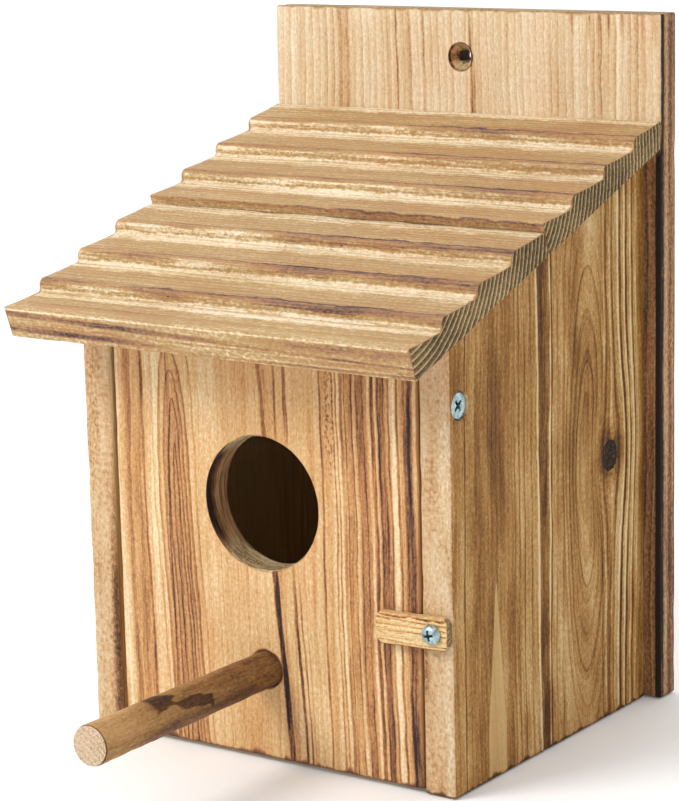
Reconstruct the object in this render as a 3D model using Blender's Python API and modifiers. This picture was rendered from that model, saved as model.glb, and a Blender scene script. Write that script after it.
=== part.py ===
"""Wooden nest box with a stepped roof, a hinged front door, a perch and a turn button.

Frame: +Z up, the door faces -Y, +X is the right-hand side seen from the front.
The origin is in the middle of the box's footprint, level with its underside.
Sizes are in millimetres in the constants and in metres in the meshes.
"""

import math

import bmesh
import bpy
from mathutils import Matrix, Vector

MM = 0.001
GAP = 0.3                      # left between pieces that touch

# Boards of the box
BODY_WIDTH = 124.4             # over the two side panels
BOARD = 9.8                    # thickness of the sides, the door and the floor
SIDE_DEPTH = 105.2             # front edge of a side to the back board
BACK_WIDTH = 135.0
BACK_THICKNESS = 8.6
BACK_HEIGHT = 202.4
BOARD_EDGE = 0.5               # sanded edge on every board

# Roof: two boards of one moulding, laid end to end up the slope
ROOF_SLOPE = math.radians(19.3)
ROOF_SEAT_Z = 164.2            # underside of the roof where it meets the back board
ROOF_WIDTH = 135.0
ROOF_LENGTH = 136.4            # along the underside, eave to back board
ROOF_BOARD_LENGTH = 69.8       # one board of the moulding
FIRST_STEP = 15.7              # a board's lower edge to its first riser
STEP_PITCH = 18.3
STEPS_ON_A_BOARD = 4
NOSE_THICKNESS = 9.4
VALLEY_THICKNESS = 6.4
NOSE_RADIUS = 2.0
COVE_RADIUS = 0.8
EAVE_RADIUS = 1.0

# Door
DOOR_GAP_LEFT = 1.5
DOOR_GAP_RIGHT = 0.5
DOOR_BOTTOM_Z = 0.9
DOOR_TOP_Z = 126.0
ENTRANCE_RADIUS = 19.05        # the usual 1 1/2 inch entrance
ENTRANCE_Z = 74.2
ENTRANCE_EDGE = 0.4
PERCH_RADIUS = 5.5
PERCH_Z = 26.7
PERCH_REACH = 76.3             # in front of the door
PERCH_SOCKET = 7.0             # depth of the blind hole that holds it
PERCH_EDGE = 0.7

# Turn button
BUTTON_LENGTH = 23.2
BUTTON_HEIGHT = 8.9
BUTTON_THICKNESS = 2.6
BUTTON_CLIP = 1.5              # clipped corners
BUTTON_SCREW_TO_END = 4.9      # screw centre to the outer end
BUTTON_SCREW_X = 57.4
BUTTON_SCREW_Z = 46.2
BUTTON_TILT = math.radians(-1.5)

# Flat head screws
SCREW_HEAD_RADIUS = 3.6
SCREW_HEAD_RIM = 0.3
SCREW_SHANK_RADIUS = 1.7
SCREW_POINT = 4.0
SCREW_SINK = 0.5               # head below the wood's face
SCREW_LENGTH = 28.0
RECESS_SPAN = 3.9
RECESS_WING = 0.9
RECESS_TAPER = 0.75            # a wing's outer end against its root
RECESS_DEPTH = 1.5
SCREW_SIDES = 20
PIVOT_Z = 107.2

# Pan head screw of the turn button
PAN_RADIUS = 2.8
PAN_HEIGHT = 1.8
PAN_SHANK_RADIUS = 1.3
PAN_LENGTH = 14.0
PAN_RECESS_SPAN = 3.2
PAN_RECESS_DEPTH = 1.1

# Hanging hole and hidden screws in the back board
HANGING_Z = 188.4
HANGING_RADIUS = 2.1
HANGING_SINK_RADIUS = 4.1
HANGING_SINK_DEPTH = 2.4
SIDE_SCREW_HEIGHTS = {"low": 26.0, "high": 132.0}
FLOOR_SCREW_X = 30.0

# Derived places
BODY_DEPTH = SIDE_DEPTH + BACK_THICKNESS
FRONT_Y = -BODY_DEPTH / 2
BACK_Y = BODY_DEPTH / 2
WALL_Y = FRONT_Y + SIDE_DEPTH  # the back board's inner face
INNER_X = BODY_WIDTH / 2 - BOARD
PIVOT_Y = FRONT_Y + BOARD / 2
SIDE_CENTRE_X = BODY_WIDTH / 2 - BOARD / 2

PALE_PINE = (0.72, 0.47, 0.24)
SHADED_PINE = (0.56, 0.37, 0.19)
SCORCHED_PINE = (0.62, 0.36, 0.17)
DOWEL_WOOD = (0.42, 0.24, 0.11)
ZINC = (0.62, 0.66, 0.70)


def clear_scene():
    """Remove every object of the open scene."""
    for item in list(bpy.data.objects):
        bpy.data.objects.remove(item, do_unlink=True)


def new_collection(name):
    """Make a collection under the scene's own."""
    group = bpy.data.collections.new(name)
    bpy.context.scene.collection.children.link(group)
    return group


def wood(name, colour, roughness=0.7):
    """A plain wooden material."""
    return principled(name, colour, roughness, 0.0)


def principled(name, colour, roughness, metallic):
    """A Principled material of one colour."""
    material = bpy.data.materials.new(name)
    material.use_nodes = True
    shader = material.node_tree.nodes["Principled BSDF"]
    shader.inputs["Base Color"].default_value = (*colour, 1.0)
    shader.inputs["Roughness"].default_value = roughness
    shader.inputs["Metallic"].default_value = metallic
    return material


def add_object(name, mesh, group, material=None):
    """Put a mesh in a collection as a named object."""
    item = bpy.data.objects.new(name, mesh)
    group.objects.link(item)
    if material:
        mesh.materials.append(material)
    return item


def place(item, x, y, z, turn=None):
    """Set an object's location in millimetres and its turn as a rotation matrix."""
    matrix = Matrix.Translation(Vector((x, y, z)) * MM)
    if turn:
        matrix = matrix @ turn
    item.matrix_world = matrix
    return item


def box_mesh(name, width, depth, height):
    """A box centred on its own origin, sized in millimetres."""
    mesh = bpy.data.meshes.new(name)
    shape = bmesh.new()
    bmesh.ops.create_cube(shape, size=1.0)
    bmesh.ops.scale(shape, vec=Vector((width, depth, height)) * MM, verts=shape.verts)
    shape.to_mesh(mesh)
    shape.free()
    return mesh


def cylinder_mesh(name, radius, length, sides):
    """A closed cylinder along its own Z, centred on its origin."""
    mesh = bpy.data.meshes.new(name)
    shape = bmesh.new()
    bmesh.ops.create_cone(
        shape, cap_ends=True, cap_tris=False, segments=sides,
        radius1=radius * MM, radius2=radius * MM, depth=length * MM,
    )
    shape.to_mesh(mesh)
    shape.free()
    return mesh


def finished_mesh(item, name):
    """The evaluated mesh of an object, welded, as a mesh of its own."""
    bpy.context.view_layer.update()
    evaluated = item.evaluated_get(bpy.context.evaluated_depsgraph_get())
    mesh = bpy.data.meshes.new_from_object(evaluated)
    mesh.name = name
    shape = bmesh.new()
    shape.from_mesh(mesh)
    bmesh.ops.remove_doubles(shape, verts=shape.verts, dist=1e-6)
    bmesh.ops.recalc_face_normals(shape, faces=shape.faces)
    shape.to_mesh(mesh)
    shape.free()
    return mesh


def outline_mesh(name, points, thickness, group):
    """A flat outline in its own XY plane, extruded along Z and centred on Z."""
    curve = bpy.data.curves.new(name, "CURVE")
    curve.dimensions = "2D"
    curve.fill_mode = "BOTH"
    curve.extrude = thickness * MM / 2
    spline = curve.splines.new("POLY")
    spline.points.add(len(points) - 1)
    for point, (x, y) in zip(spline.points, points):
        point.co = (x * MM, y * MM, 0.0, 1.0)
    spline.use_cyclic_u = True
    guide = bpy.data.objects.new(name, curve)
    group.objects.link(guide)
    mesh = finished_mesh(guide, name)
    bpy.data.objects.remove(guide, do_unlink=True)
    bpy.data.curves.remove(curve)
    return mesh


def turned_mesh(name, profile, sides, group):
    """A profile of (radius, height) points, top to bottom, turned about Z."""
    mesh = bpy.data.meshes.new(name)
    shape = bmesh.new()
    verts = [shape.verts.new((r * MM, 0.0, z * MM)) for r, z in profile]
    for upper, lower in zip(verts, verts[1:]):
        shape.edges.new((upper, lower))
    shape.to_mesh(mesh)
    shape.free()
    guide = add_object(name, mesh, group)
    turn = guide.modifiers.new("turn", "SCREW")
    turn.steps = sides
    turn.render_steps = sides
    turn.use_merge_vertices = True
    turn.merge_threshold = 1e-6
    result = finished_mesh(guide, name)
    bpy.data.objects.remove(guide, do_unlink=True)
    return result


def arc(cx, cy, radius, start, end, pieces):
    """Points on an arc, with its angles in degrees."""
    points = []
    for i in range(pieces + 1):
        angle = math.radians(start + (end - start) * i / pieces)
        points.append((cx + radius * math.cos(angle), cy + radius * math.sin(angle)))
    return points


def soften(item, width, segments=1):
    """Round or chamfer an object's sharp edges."""
    bevel = item.modifiers.new("edge", "BEVEL")
    bevel.width = width * MM
    bevel.segments = segments
    bevel.limit_method = "ANGLE"
    bevel.angle_limit = math.radians(50)
    return item


def cut(item, cutter):
    """Take a cutter's shape out of an object."""
    boolean = item.modifiers.new("cut " + cutter.name, "BOOLEAN")
    boolean.operation = "DIFFERENCE"
    boolean.solver = "EXACT"
    boolean.object = cutter


def add_cutter(name, mesh, group):
    """An object that only cuts others."""
    cutter = add_object(name, mesh, group)
    cutter.hide_render = True
    cutter.display_type = "WIRE"
    return cutter


def smooth(mesh, angle=35):
    """Shade a mesh smooth, apart from its sharp edges."""
    mesh.shade_smooth()
    mesh.set_sharp_from_angle(angle=math.radians(angle))


# Turns that lay a piece's own Z along a world axis
ALONG_PLUS_X = Matrix.Rotation(math.radians(90), 4, "Y")
ALONG_MINUS_X = Matrix.Rotation(math.radians(-90), 4, "Y")
ALONG_PLUS_Y = Matrix.Rotation(math.radians(-90), 4, "X")
ALONG_MINUS_Y = Matrix.Rotation(math.radians(90), 4, "X")
# Lays an outline's X along -Y, its Y along +Z and its Z along -X
SIDE_ON = Matrix(((0, 0, -1, 0), (-1, 0, 0, 0), (0, 1, 0, 0), (0, 0, 0, 1)))


def roof_underside(y):
    """Height of the roof's underside at a distance in front of the back board."""
    return ROOF_SEAT_Z - (WALL_Y - y) * math.tan(ROOF_SLOPE)


def build_back_board(parts, cutters):
    """The tall board that everything is fixed to, with its hanging hole."""
    mesh = box_mesh("back_board", BACK_WIDTH, BACK_THICKNESS, BACK_HEIGHT)
    board = add_object("back_board", mesh, parts, wood("pale pine", PALE_PINE))
    place(board, 0, WALL_Y + BACK_THICKNESS / 2, BACK_HEIGHT / 2)
    soften(board, BOARD_EDGE)
    reach = BACK_THICKNESS + 2
    profile = [
        (0, 1),
        (HANGING_SINK_RADIUS + 0.6, 1),
        (HANGING_SINK_RADIUS, 0),
        (HANGING_RADIUS, -HANGING_SINK_DEPTH),
        (HANGING_RADIUS, -reach),
        (0, -reach),
    ]
    hole = add_cutter("hanging hole", turned_mesh("hanging hole", profile, 24, cutters), cutters)
    place(hole, 0, WALL_Y, HANGING_Z, ALONG_MINUS_Y)
    cut(board, hole)
    return board


def build_side(name, sign, parts, material):
    """A side panel whose top follows the roof. Its sign is -1 on the left."""
    bottom_front = SIDE_DEPTH / 2
    rear = -SIDE_DEPTH / 2 + GAP
    points = [
        (rear, 0),
        (rear, roof_underside(WALL_Y) - GAP),
        (bottom_front, roof_underside(FRONT_Y) - GAP),
        (bottom_front, 0),
    ]
    mesh = outline_mesh(name, points, BOARD, parts)
    side = add_object(name, mesh, parts, material)
    place(side, sign * SIDE_CENTRE_X, FRONT_Y + SIDE_DEPTH / 2, 0, SIDE_ON)
    soften(side, BOARD_EDGE)
    return side


def build_floor(parts, material):
    """The bottom panel, between the sides and behind the door."""
    front = FRONT_Y + BOARD + DOOR_GAP_RIGHT
    depth = WALL_Y - GAP - front
    width = 2 * (INNER_X - GAP)
    mesh = box_mesh("floor_panel", width, depth, BOARD)
    floor = add_object("floor_panel", mesh, parts, material)
    place(floor, 0, front + depth / 2, BOARD / 2)
    soften(floor, BOARD_EDGE)
    return floor


def roof_profile(start, end, square_end):
    """Outline of one roof board as (distance up the slope, thickness) points."""
    points = [(start, 0.0)]
    first_nose = NOSE_THICKNESS - EAVE_RADIUS
    points += arc(start + EAVE_RADIUS, first_nose, EAVE_RADIUS, 180, 90, 3)
    fall = (NOSE_THICKNESS - VALLEY_THICKNESS) / STEP_PITCH
    for step in range(STEPS_ON_A_BOARD - 1):
        riser = start + FIRST_STEP + step * STEP_PITCH
        points += arc(riser - COVE_RADIUS, VALLEY_THICKNESS + COVE_RADIUS, COVE_RADIUS, -90, 0, 3)
        points += arc(riser + NOSE_RADIUS, NOSE_THICKNESS - NOSE_RADIUS, NOSE_RADIUS, 180, 90, 4)
    last_run = end - riser - NOSE_RADIUS
    end_thickness = NOSE_THICKNESS - fall * last_run
    points.append((end if square_end else end + end_thickness * math.tan(ROOF_SLOPE), end_thickness))
    points.append((end, 0.0))
    return points


def build_roof_board(name, start, end, square_end, parts, material):
    """One moulded roof board, from one distance up the slope to another."""
    mesh = outline_mesh(name, roof_profile(start, end, square_end), ROOF_WIDTH, parts)
    board = add_object(name, mesh, parts, material)
    smooth(mesh, 30)
    uphill = Vector((0, math.cos(ROOF_SLOPE), math.sin(ROOF_SLOPE)))
    outward = Vector((0, -math.sin(ROOF_SLOPE), math.cos(ROOF_SLOPE)))
    across = uphill.cross(outward)
    turn = Matrix((uphill, outward, across)).transposed().to_4x4()
    eave = Vector((0, WALL_Y, ROOF_SEAT_Z)) - uphill * ROOF_LENGTH
    place(board, eave.x, eave.y, eave.z, turn)
    return board


def build_door(parts, cutters, hinge):
    """The front panel with the entrance, turning on the hinge's axis."""
    left = -INNER_X + DOOR_GAP_LEFT
    right = INNER_X - DOOR_GAP_RIGHT
    height = DOOR_TOP_Z - DOOR_BOTTOM_Z
    mesh = box_mesh("front_door", right - left, BOARD, height)
    offset = Vector(((left + right) / 2, 0, DOOR_BOTTOM_Z + height / 2 - PIVOT_Z))
    mesh.transform(Matrix.Translation(offset * MM))
    door = add_object("front_door", mesh, parts, wood("scorched pine", SCORCHED_PINE))
    door.parent = hinge
    soften(door, BOARD_EDGE)
    half = BOARD / 2
    profile = [
        (0, half + 1),
        (ENTRANCE_RADIUS + ENTRANCE_EDGE + 1, half + 1),
        (ENTRANCE_RADIUS + ENTRANCE_EDGE, half),
        (ENTRANCE_RADIUS, half - ENTRANCE_EDGE),
        (ENTRANCE_RADIUS, -half - 1),
        (0, -half - 1),
    ]
    entrance = add_cutter("entrance", turned_mesh("entrance", profile, 48, cutters), cutters)
    place(entrance, 0, PIVOT_Y, ENTRANCE_Z, ALONG_MINUS_Y)
    cut(door, entrance)
    socket_mesh = cylinder_mesh("perch socket", PERCH_RADIUS + GAP, 2 * PERCH_SOCKET, 32)
    socket = add_cutter("perch socket", socket_mesh, cutters)
    place(socket, 0, FRONT_Y, PERCH_Z, ALONG_MINUS_Y)
    cut(door, socket)
    return door


def build_perch(parts, hinge):
    """The dowel that the bird lands on, glued into the door."""
    length = PERCH_REACH + PERCH_SOCKET - GAP
    mesh = cylinder_mesh("perch_dowel", PERCH_RADIUS, length, 32)
    perch = add_object("perch_dowel", mesh, parts, wood("dowel wood", DOWEL_WOOD))
    perch.parent = hinge
    centre = Vector((0, FRONT_Y - PERCH_REACH + length / 2 - PIVOT_Y, PERCH_Z - PIVOT_Z))
    perch.matrix_local = Matrix.Translation(centre * MM) @ ALONG_MINUS_Y
    soften(perch, PERCH_EDGE, 2)
    smooth(mesh, 50)
    return perch


def build_turn_button(parts, cutters, pivot, material):
    """The small bar that holds the door, on its own pivot."""
    outer = BUTTON_SCREW_TO_END
    inner = outer - BUTTON_LENGTH
    half = BUTTON_HEIGHT / 2
    clip = BUTTON_CLIP
    points = [
        (inner, half - clip), (inner, clip - half), (inner + clip, -half), (outer - clip, -half),
        (outer, clip - half), (outer, half - clip), (outer - clip, half), (inner + clip, half),
    ]
    mesh = outline_mesh("turn_button", points, BUTTON_THICKNESS, parts)
    button = add_object("turn_button", mesh, parts, material)
    button.parent = pivot
    lie = Matrix.Rotation(math.radians(90), 4, "X") @ Matrix.Rotation(-BUTTON_TILT, 4, "Z")
    button.matrix_local = lie
    bore_mesh = cylinder_mesh("button bore", PAN_SHANK_RADIUS + GAP, 4 * BUTTON_THICKNESS, 20)
    bore = add_cutter("button bore", bore_mesh, cutters)
    place(bore, BUTTON_SCREW_X, BUTTON_CENTRE_Y, BUTTON_SCREW_Z, ALONG_MINUS_Y)
    cut(button, bore)
    soften(button, 0.3)
    return button


BUTTON_CENTRE_Y = FRONT_Y - GAP - BUTTON_THICKNESS / 2


def recess_mesh(name, span, wing, depth, group):
    """A cross-shaped cutter for a driver recess, its top 0.2 mm over its origin."""
    a = span / 2
    b = wing / 2
    c = b * RECESS_TAPER
    points = [
        (a, -c), (a, c), (b, b), (c, a), (-c, a), (-b, b),
        (-a, c), (-a, -c), (-b, -b), (-c, -a), (c, -a), (b, -b),
    ]
    mesh = outline_mesh(name, points, depth + 0.2, group)
    mesh.transform(Matrix.Translation((0, 0, (0.2 - depth) / 2 * MM)))
    return mesh


def screw_mesh(name, profile, span, depth, group, cutters):
    """A turned screw with a cross recess in its head, which is at the origin."""
    blank = add_object(name, turned_mesh(name, profile, SCREW_SIDES, group), group)
    cross = add_cutter(name + " recess", recess_mesh(name, span, RECESS_WING, depth, group), cutters)
    top = profile[0][1]
    place(cross, 0, 0, top)
    cut(blank, cross)
    mesh = finished_mesh(blank, name)
    bpy.data.objects.remove(blank, do_unlink=True)
    bpy.data.objects.remove(cross, do_unlink=True)
    smooth(mesh, 40)
    return mesh


def flat_screw_profile(extra=0.0):
    """Profile of a flat head screw; extra widens it for the hole it goes in."""
    head = SCREW_HEAD_RADIUS + extra
    shank = SCREW_SHANK_RADIUS + extra
    rim = -SCREW_HEAD_RIM - extra * 0.4
    cone = rim - (SCREW_HEAD_RADIUS - SCREW_SHANK_RADIUS)
    tip = -SCREW_LENGTH - extra * 2
    return [(head, rim), (shank, cone), (shank, tip + SCREW_POINT + extra), (0, tip)]


def build_screw_meshes(parts, cutters):
    """The two kinds of screw, each as one shared mesh."""
    flat = [(0, 0), (SCREW_HEAD_RADIUS, 0)] + flat_screw_profile()
    flat_mesh = screw_mesh("flat screw", flat, RECESS_SPAN, RECESS_DEPTH, parts, cutters)
    dome = [(0.0, PAN_HEIGHT), (1.4, PAN_HEIGHT), (2.2, PAN_HEIGHT * 0.86), (PAN_RADIUS, PAN_HEIGHT * 0.45)]
    stem = [
        (PAN_RADIUS, 0), (PAN_SHANK_RADIUS, 0),
        (PAN_SHANK_RADIUS, SCREW_POINT / 2 - PAN_LENGTH), (0, -PAN_LENGTH),
    ]
    pan_mesh = screw_mesh("pan screw", dome + stem, PAN_RECESS_SPAN, PAN_RECESS_DEPTH, parts, cutters)
    zinc = principled("zinc plate", ZINC, 0.35, 1.0)
    flat_mesh.materials.append(zinc)
    pan_mesh.materials.append(zinc)
    return flat_mesh, pan_mesh


def drive_flat_screw(name, mesh, x, y, z, turn, boards, parts, cutters):
    """A flat head screw sunk in a face at a point, and its hole in each board."""
    screw = add_object(name, mesh, parts)
    sink = turn @ Vector((0, 0, -SCREW_SINK))
    place(screw, x + sink.x, y + sink.y, z + sink.z, turn)
    lid = SCREW_SINK + 1
    profile = [(0, lid), (SCREW_HEAD_RADIUS + GAP, lid)] + flat_screw_profile(GAP)
    hole_name = name + " hole"
    hole = add_cutter(hole_name, turned_mesh(hole_name, profile, SCREW_SIDES, cutters), cutters)
    place(hole, x + sink.x, y + sink.y, z + sink.z, turn)
    for board in boards:
        cut(board, hole)
    return screw


def drive_pan_screw(mesh, button_pivot_y, side, parts, cutters):
    """The turn button's screw, and its pilot hole in the side panel's edge."""
    head_y = button_pivot_y - BUTTON_THICKNESS / 2 - GAP
    screw = add_object("turn_button_screw", mesh, parts)
    place(screw, BUTTON_SCREW_X, head_y, BUTTON_SCREW_Z, ALONG_MINUS_Y)
    depth = 2 * (PAN_LENGTH + GAP)
    pilot_mesh = cylinder_mesh("button pilot", PAN_SHANK_RADIUS + GAP, depth, 20)
    pilot = add_cutter("button pilot", pilot_mesh, cutters)
    place(pilot, BUTTON_SCREW_X, head_y, BUTTON_SCREW_Z, ALONG_MINUS_Y)
    cut(side, pilot)
    return screw


def add_pivot(name, x, y, z, group):
    """An empty on a joint's axis, which the moving pieces hang from."""
    pivot = bpy.data.objects.new(name, None)
    group.objects.link(pivot)
    place(pivot, x, y, z)
    return pivot


def build():
    """Build the whole nest box."""
    clear_scene()
    parts = new_collection("nest box")
    cutters = new_collection("cutters")
    shaded = wood("shaded pine", SHADED_PINE)
    roof_wood = wood("scorched roof pine", SCORCHED_PINE)

    back = build_back_board(parts, cutters)
    left = build_side("left_side", -1, parts, shaded)
    right = build_side("right_side", 1, parts, shaded)
    floor = build_floor(parts, shaded)
    split = ROOF_BOARD_LENGTH
    build_roof_board("roof_board_front", 0, split, True, parts, roof_wood)
    build_roof_board("roof_board_rear", split + GAP, ROOF_LENGTH - GAP, False, parts, roof_wood)

    hinge = add_pivot("door hinge", 0, PIVOT_Y, PIVOT_Z, parts)
    door = build_door(parts, cutters, hinge)
    build_perch(parts, hinge)
    button_pivot = add_pivot("button pivot", BUTTON_SCREW_X, BUTTON_CENTRE_Y, BUTTON_SCREW_Z, parts)
    build_turn_button(parts, cutters, button_pivot, wood("button wood", PALE_PINE))

    flat_mesh, pan_mesh = build_screw_meshes(parts, cutters)
    outer_x = BODY_WIDTH / 2
    drive_flat_screw("pivot_screw_left", flat_mesh, -outer_x, PIVOT_Y, PIVOT_Z, ALONG_MINUS_X,
                     (left, door), parts, cutters)
    drive_flat_screw("pivot_screw_right", flat_mesh, outer_x, PIVOT_Y, PIVOT_Z, ALONG_PLUS_X,
                     (right, door), parts, cutters)
    for side_name, sign, side in (("left", -1, left), ("right", 1, right)):
        for level, height in SIDE_SCREW_HEIGHTS.items():
            drive_flat_screw(f"side_screw_{side_name}_{level}", flat_mesh, sign * SIDE_CENTRE_X,
                             BACK_Y, height, ALONG_PLUS_Y, (back, side), parts, cutters)
        drive_flat_screw(f"floor_screw_{side_name}", flat_mesh, sign * FLOOR_SCREW_X,
                         BACK_Y, BOARD / 2, ALONG_PLUS_Y, (back, floor), parts, cutters)
    drive_pan_screw(pan_mesh, BUTTON_CENTRE_Y, right, parts, cutters)


build()
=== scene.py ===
"""The finished look of the torched pine nest box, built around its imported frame."""

import logging
import math
from dataclasses import dataclass, field
from enum import Enum
from typing import Callable, Dict, List, Optional, Sequence, Tuple, Union

import bmesh
import bpy
import numpy as np
from mathutils import Matrix, Vector, noise


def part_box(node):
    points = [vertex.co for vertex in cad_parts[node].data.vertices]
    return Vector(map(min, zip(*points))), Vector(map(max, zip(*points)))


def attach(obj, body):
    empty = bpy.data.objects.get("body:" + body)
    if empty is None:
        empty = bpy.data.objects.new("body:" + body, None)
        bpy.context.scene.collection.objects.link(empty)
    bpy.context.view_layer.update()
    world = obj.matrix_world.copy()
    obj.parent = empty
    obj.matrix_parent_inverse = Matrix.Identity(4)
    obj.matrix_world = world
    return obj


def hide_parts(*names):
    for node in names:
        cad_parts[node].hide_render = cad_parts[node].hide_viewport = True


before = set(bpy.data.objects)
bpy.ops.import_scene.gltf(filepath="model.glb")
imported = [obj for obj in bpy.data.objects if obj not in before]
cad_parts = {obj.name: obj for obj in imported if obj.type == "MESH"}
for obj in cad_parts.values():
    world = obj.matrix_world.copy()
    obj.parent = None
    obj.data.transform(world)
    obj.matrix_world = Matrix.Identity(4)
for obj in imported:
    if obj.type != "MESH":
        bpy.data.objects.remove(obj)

log = logging.getLogger("nest box")

Vec = Tuple[float, float, float]
Socket = bpy.types.NodeSocket
Term = Union[float, Socket]

MM = 0.001
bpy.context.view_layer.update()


class Body(Enum):
    """The rigid bodies of the frame that a piece may ride on."""

    HOUSE = "house"
    DOOR = "door"
    BUTTON = "button"


class Lie(Enum):
    """Where on a board a streak lies."""

    FACE = "face"
    EDGE = "edge"


class Slot(Enum):
    """The record's material slots."""

    BACK = "back_wood"
    SIDE = "side_wood"
    ROOF = "roof_wood"
    DOOR = "door_wood"
    PERCH = "perch_wood"
    BUTTON = "button_wood"
    SCREW = "zinc_screw"


# ---------------------------------------------------------------------------
# Frame places, in millimetres
# ---------------------------------------------------------------------------


def node_box(node: str) -> Tuple[np.ndarray, np.ndarray]:
    """Lowest and highest corner of a frame node, in millimetres."""
    low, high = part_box(node)
    return np.array(low) / MM, np.array(high) / MM


def linear(shade: str) -> Tuple[float, float, float, float]:
    """Turn a six-digit display colour into a linear one with full alpha.

    Args:
        shade: Red, green and blue as six hexadecimal digits.

    Returns:
        The linear colour.
    """
    values = [int(shade[i:i + 2], 16) / 255 for i in (0, 2, 4)]
    bent = [v / 12.92 if v <= 0.04045 else ((v + 0.055) / 1.055) ** 2.4 for v in values]
    return (bent[0], bent[1], bent[2], 1.0)


# ---------------------------------------------------------------------------
# Writing shader formulas
# ---------------------------------------------------------------------------


class Graph:
    """Writes formulas as shader nodes in one material."""

    def __init__(self, material: bpy.types.Material) -> None:
        """Start from an empty node tree with one Principled shader."""
        material.use_nodes = True
        self.tree = material.node_tree
        self.tree.nodes.clear()
        self.shader = self.tree.nodes.new("ShaderNodeBsdfPrincipled")
        out = self.tree.nodes.new("ShaderNodeOutputMaterial")
        self.tree.links.new(self.shader.outputs["BSDF"], out.inputs["Surface"])

    def feed(self, socket: Socket, value: Term) -> None:
        """Link a socket to another, or set its number."""
        if isinstance(value, bpy.types.NodeSocket):
            self.tree.links.new(value, socket)
        else:
            socket.default_value = value

    def op(self, operation: str, a: Term, b: Term = 0.0, c: Term = 0.0, clamp: bool = False) -> Socket:
        """One Math node.

        Args:
            operation: The node's operation, such as ADD.
            a: First term.
            b: Second term.
            c: Third term, where the operation has one.
            clamp: Keep the result between 0 and 1.

        Returns:
            The node's output.
        """
        node = self.tree.nodes.new("ShaderNodeMath")
        node.operation = operation
        node.use_clamp = clamp
        for socket, value in zip(node.inputs, (a, b, c)):
            self.feed(socket, value)
        return node.outputs[0]

    def add(self, a: Term, b: Term) -> Socket:
        """Sum of two terms."""
        return self.op("ADD", a, b)

    def mul(self, a: Term, b: Term) -> Socket:
        """Product of two terms."""
        return self.op("MULTIPLY", a, b)

    def fma(self, a: Term, b: Term, c: Term) -> Socket:
        """Product of two terms plus a third."""
        return self.op("MULTIPLY_ADD", a, b, c)

    def ease(self, value: Term, low: Term, high: Term, start: float = 0.0, end: float = 1.0) -> Socket:
        """Smooth step of a value from one level to another.

        Args:
            value: What is stepped.
            low: Where the step begins.
            high: Where it ends.
            start: Result at and before low.
            end: Result at and after high.

        Returns:
            The eased value.
        """
        node = self.tree.nodes.new("ShaderNodeMapRange")
        node.interpolation_type = "SMOOTHSTEP"
        for socket, term in zip(node.inputs, (value, low, high, start, end)):
            self.feed(socket, term)
        return node.outputs[0]

    def combine(self, x: Term, y: Term, z: Term) -> Socket:
        """A vector from three terms."""
        node = self.tree.nodes.new("ShaderNodeCombineXYZ")
        for socket, value in zip(node.inputs, (x, y, z)):
            self.feed(socket, value)
        return node.outputs[0]

    def dot(self, vector: Socket, constant: Vec) -> Socket:
        """Dot product with a constant vector."""
        node = self.tree.nodes.new("ShaderNodeVectorMath")
        node.operation = "DOT_PRODUCT"
        self.feed(node.inputs[0], vector)
        node.inputs[1].default_value = constant
        return node.outputs["Value"]

    def noise(self, vector: Socket, detail: float = 2.0, roughness: float = 0.5,
              distortion: float = 0.0) -> Socket:
        """Gradient noise around one half, at a scale of 1."""
        node = self.tree.nodes.new("ShaderNodeTexNoise")
        node.inputs["Scale"].default_value = 1.0
        node.inputs["Detail"].default_value = detail
        node.inputs["Roughness"].default_value = roughness
        node.inputs["Distortion"].default_value = distortion
        self.feed(node.inputs["Vector"], vector)
        return node.outputs[0]

    def cells(self, vector: Socket) -> Socket:
        """Distance to the nearest of scattered points, at a scale of 1."""
        node = self.tree.nodes.new("ShaderNodeTexVoronoi")
        node.inputs["Scale"].default_value = 1.0
        self.feed(node.inputs["Vector"], vector)
        return node.outputs["Distance"]

    def ramp(self, value: Term, stops: Sequence[Tuple[float, str]]) -> Socket:
        """A colour ramp through display colours."""
        node = self.tree.nodes.new("ShaderNodeValToRGB")
        elements = node.color_ramp.elements
        while len(elements) < len(stops):
            elements.new(0.5)
        for element, (place, shade) in zip(elements, stops):
            element.position = place
            element.color = linear(shade)
        self.feed(node.inputs[0], value)
        return node.outputs[0]

    def mix(self, share: Term, first: Term, second: Term, blend: str = "MIX") -> Socket:
        """Mix two colours.

        Args:
            share: How much of the second colour, from 0 to 1.
            first: Socket or colour.
            second: Socket or colour.
            blend: Blend type, such as MULTIPLY.

        Returns:
            The mixed colour.
        """
        node = self.tree.nodes.new("ShaderNodeMix")
        node.data_type = "RGBA"
        node.blend_type = blend
        self.feed(node.inputs[0], share)
        self.feed(node.inputs[6], first)
        self.feed(node.inputs[7], second)
        return node.outputs[2]

    def relief(self, height: Socket, depth_mm: float) -> None:
        """Drive the shader's normal from a height field."""
        node = self.tree.nodes.new("ShaderNodeBump")
        node.inputs["Strength"].default_value = 1.0
        node.inputs["Distance"].default_value = depth_mm * MM
        self.feed(node.inputs["Height"], height)
        self.feed(self.shader.inputs["Normal"], node.outputs[0])


# ---------------------------------------------------------------------------
# Timber: where its grain runs and what is drawn in it
# ---------------------------------------------------------------------------


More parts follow.
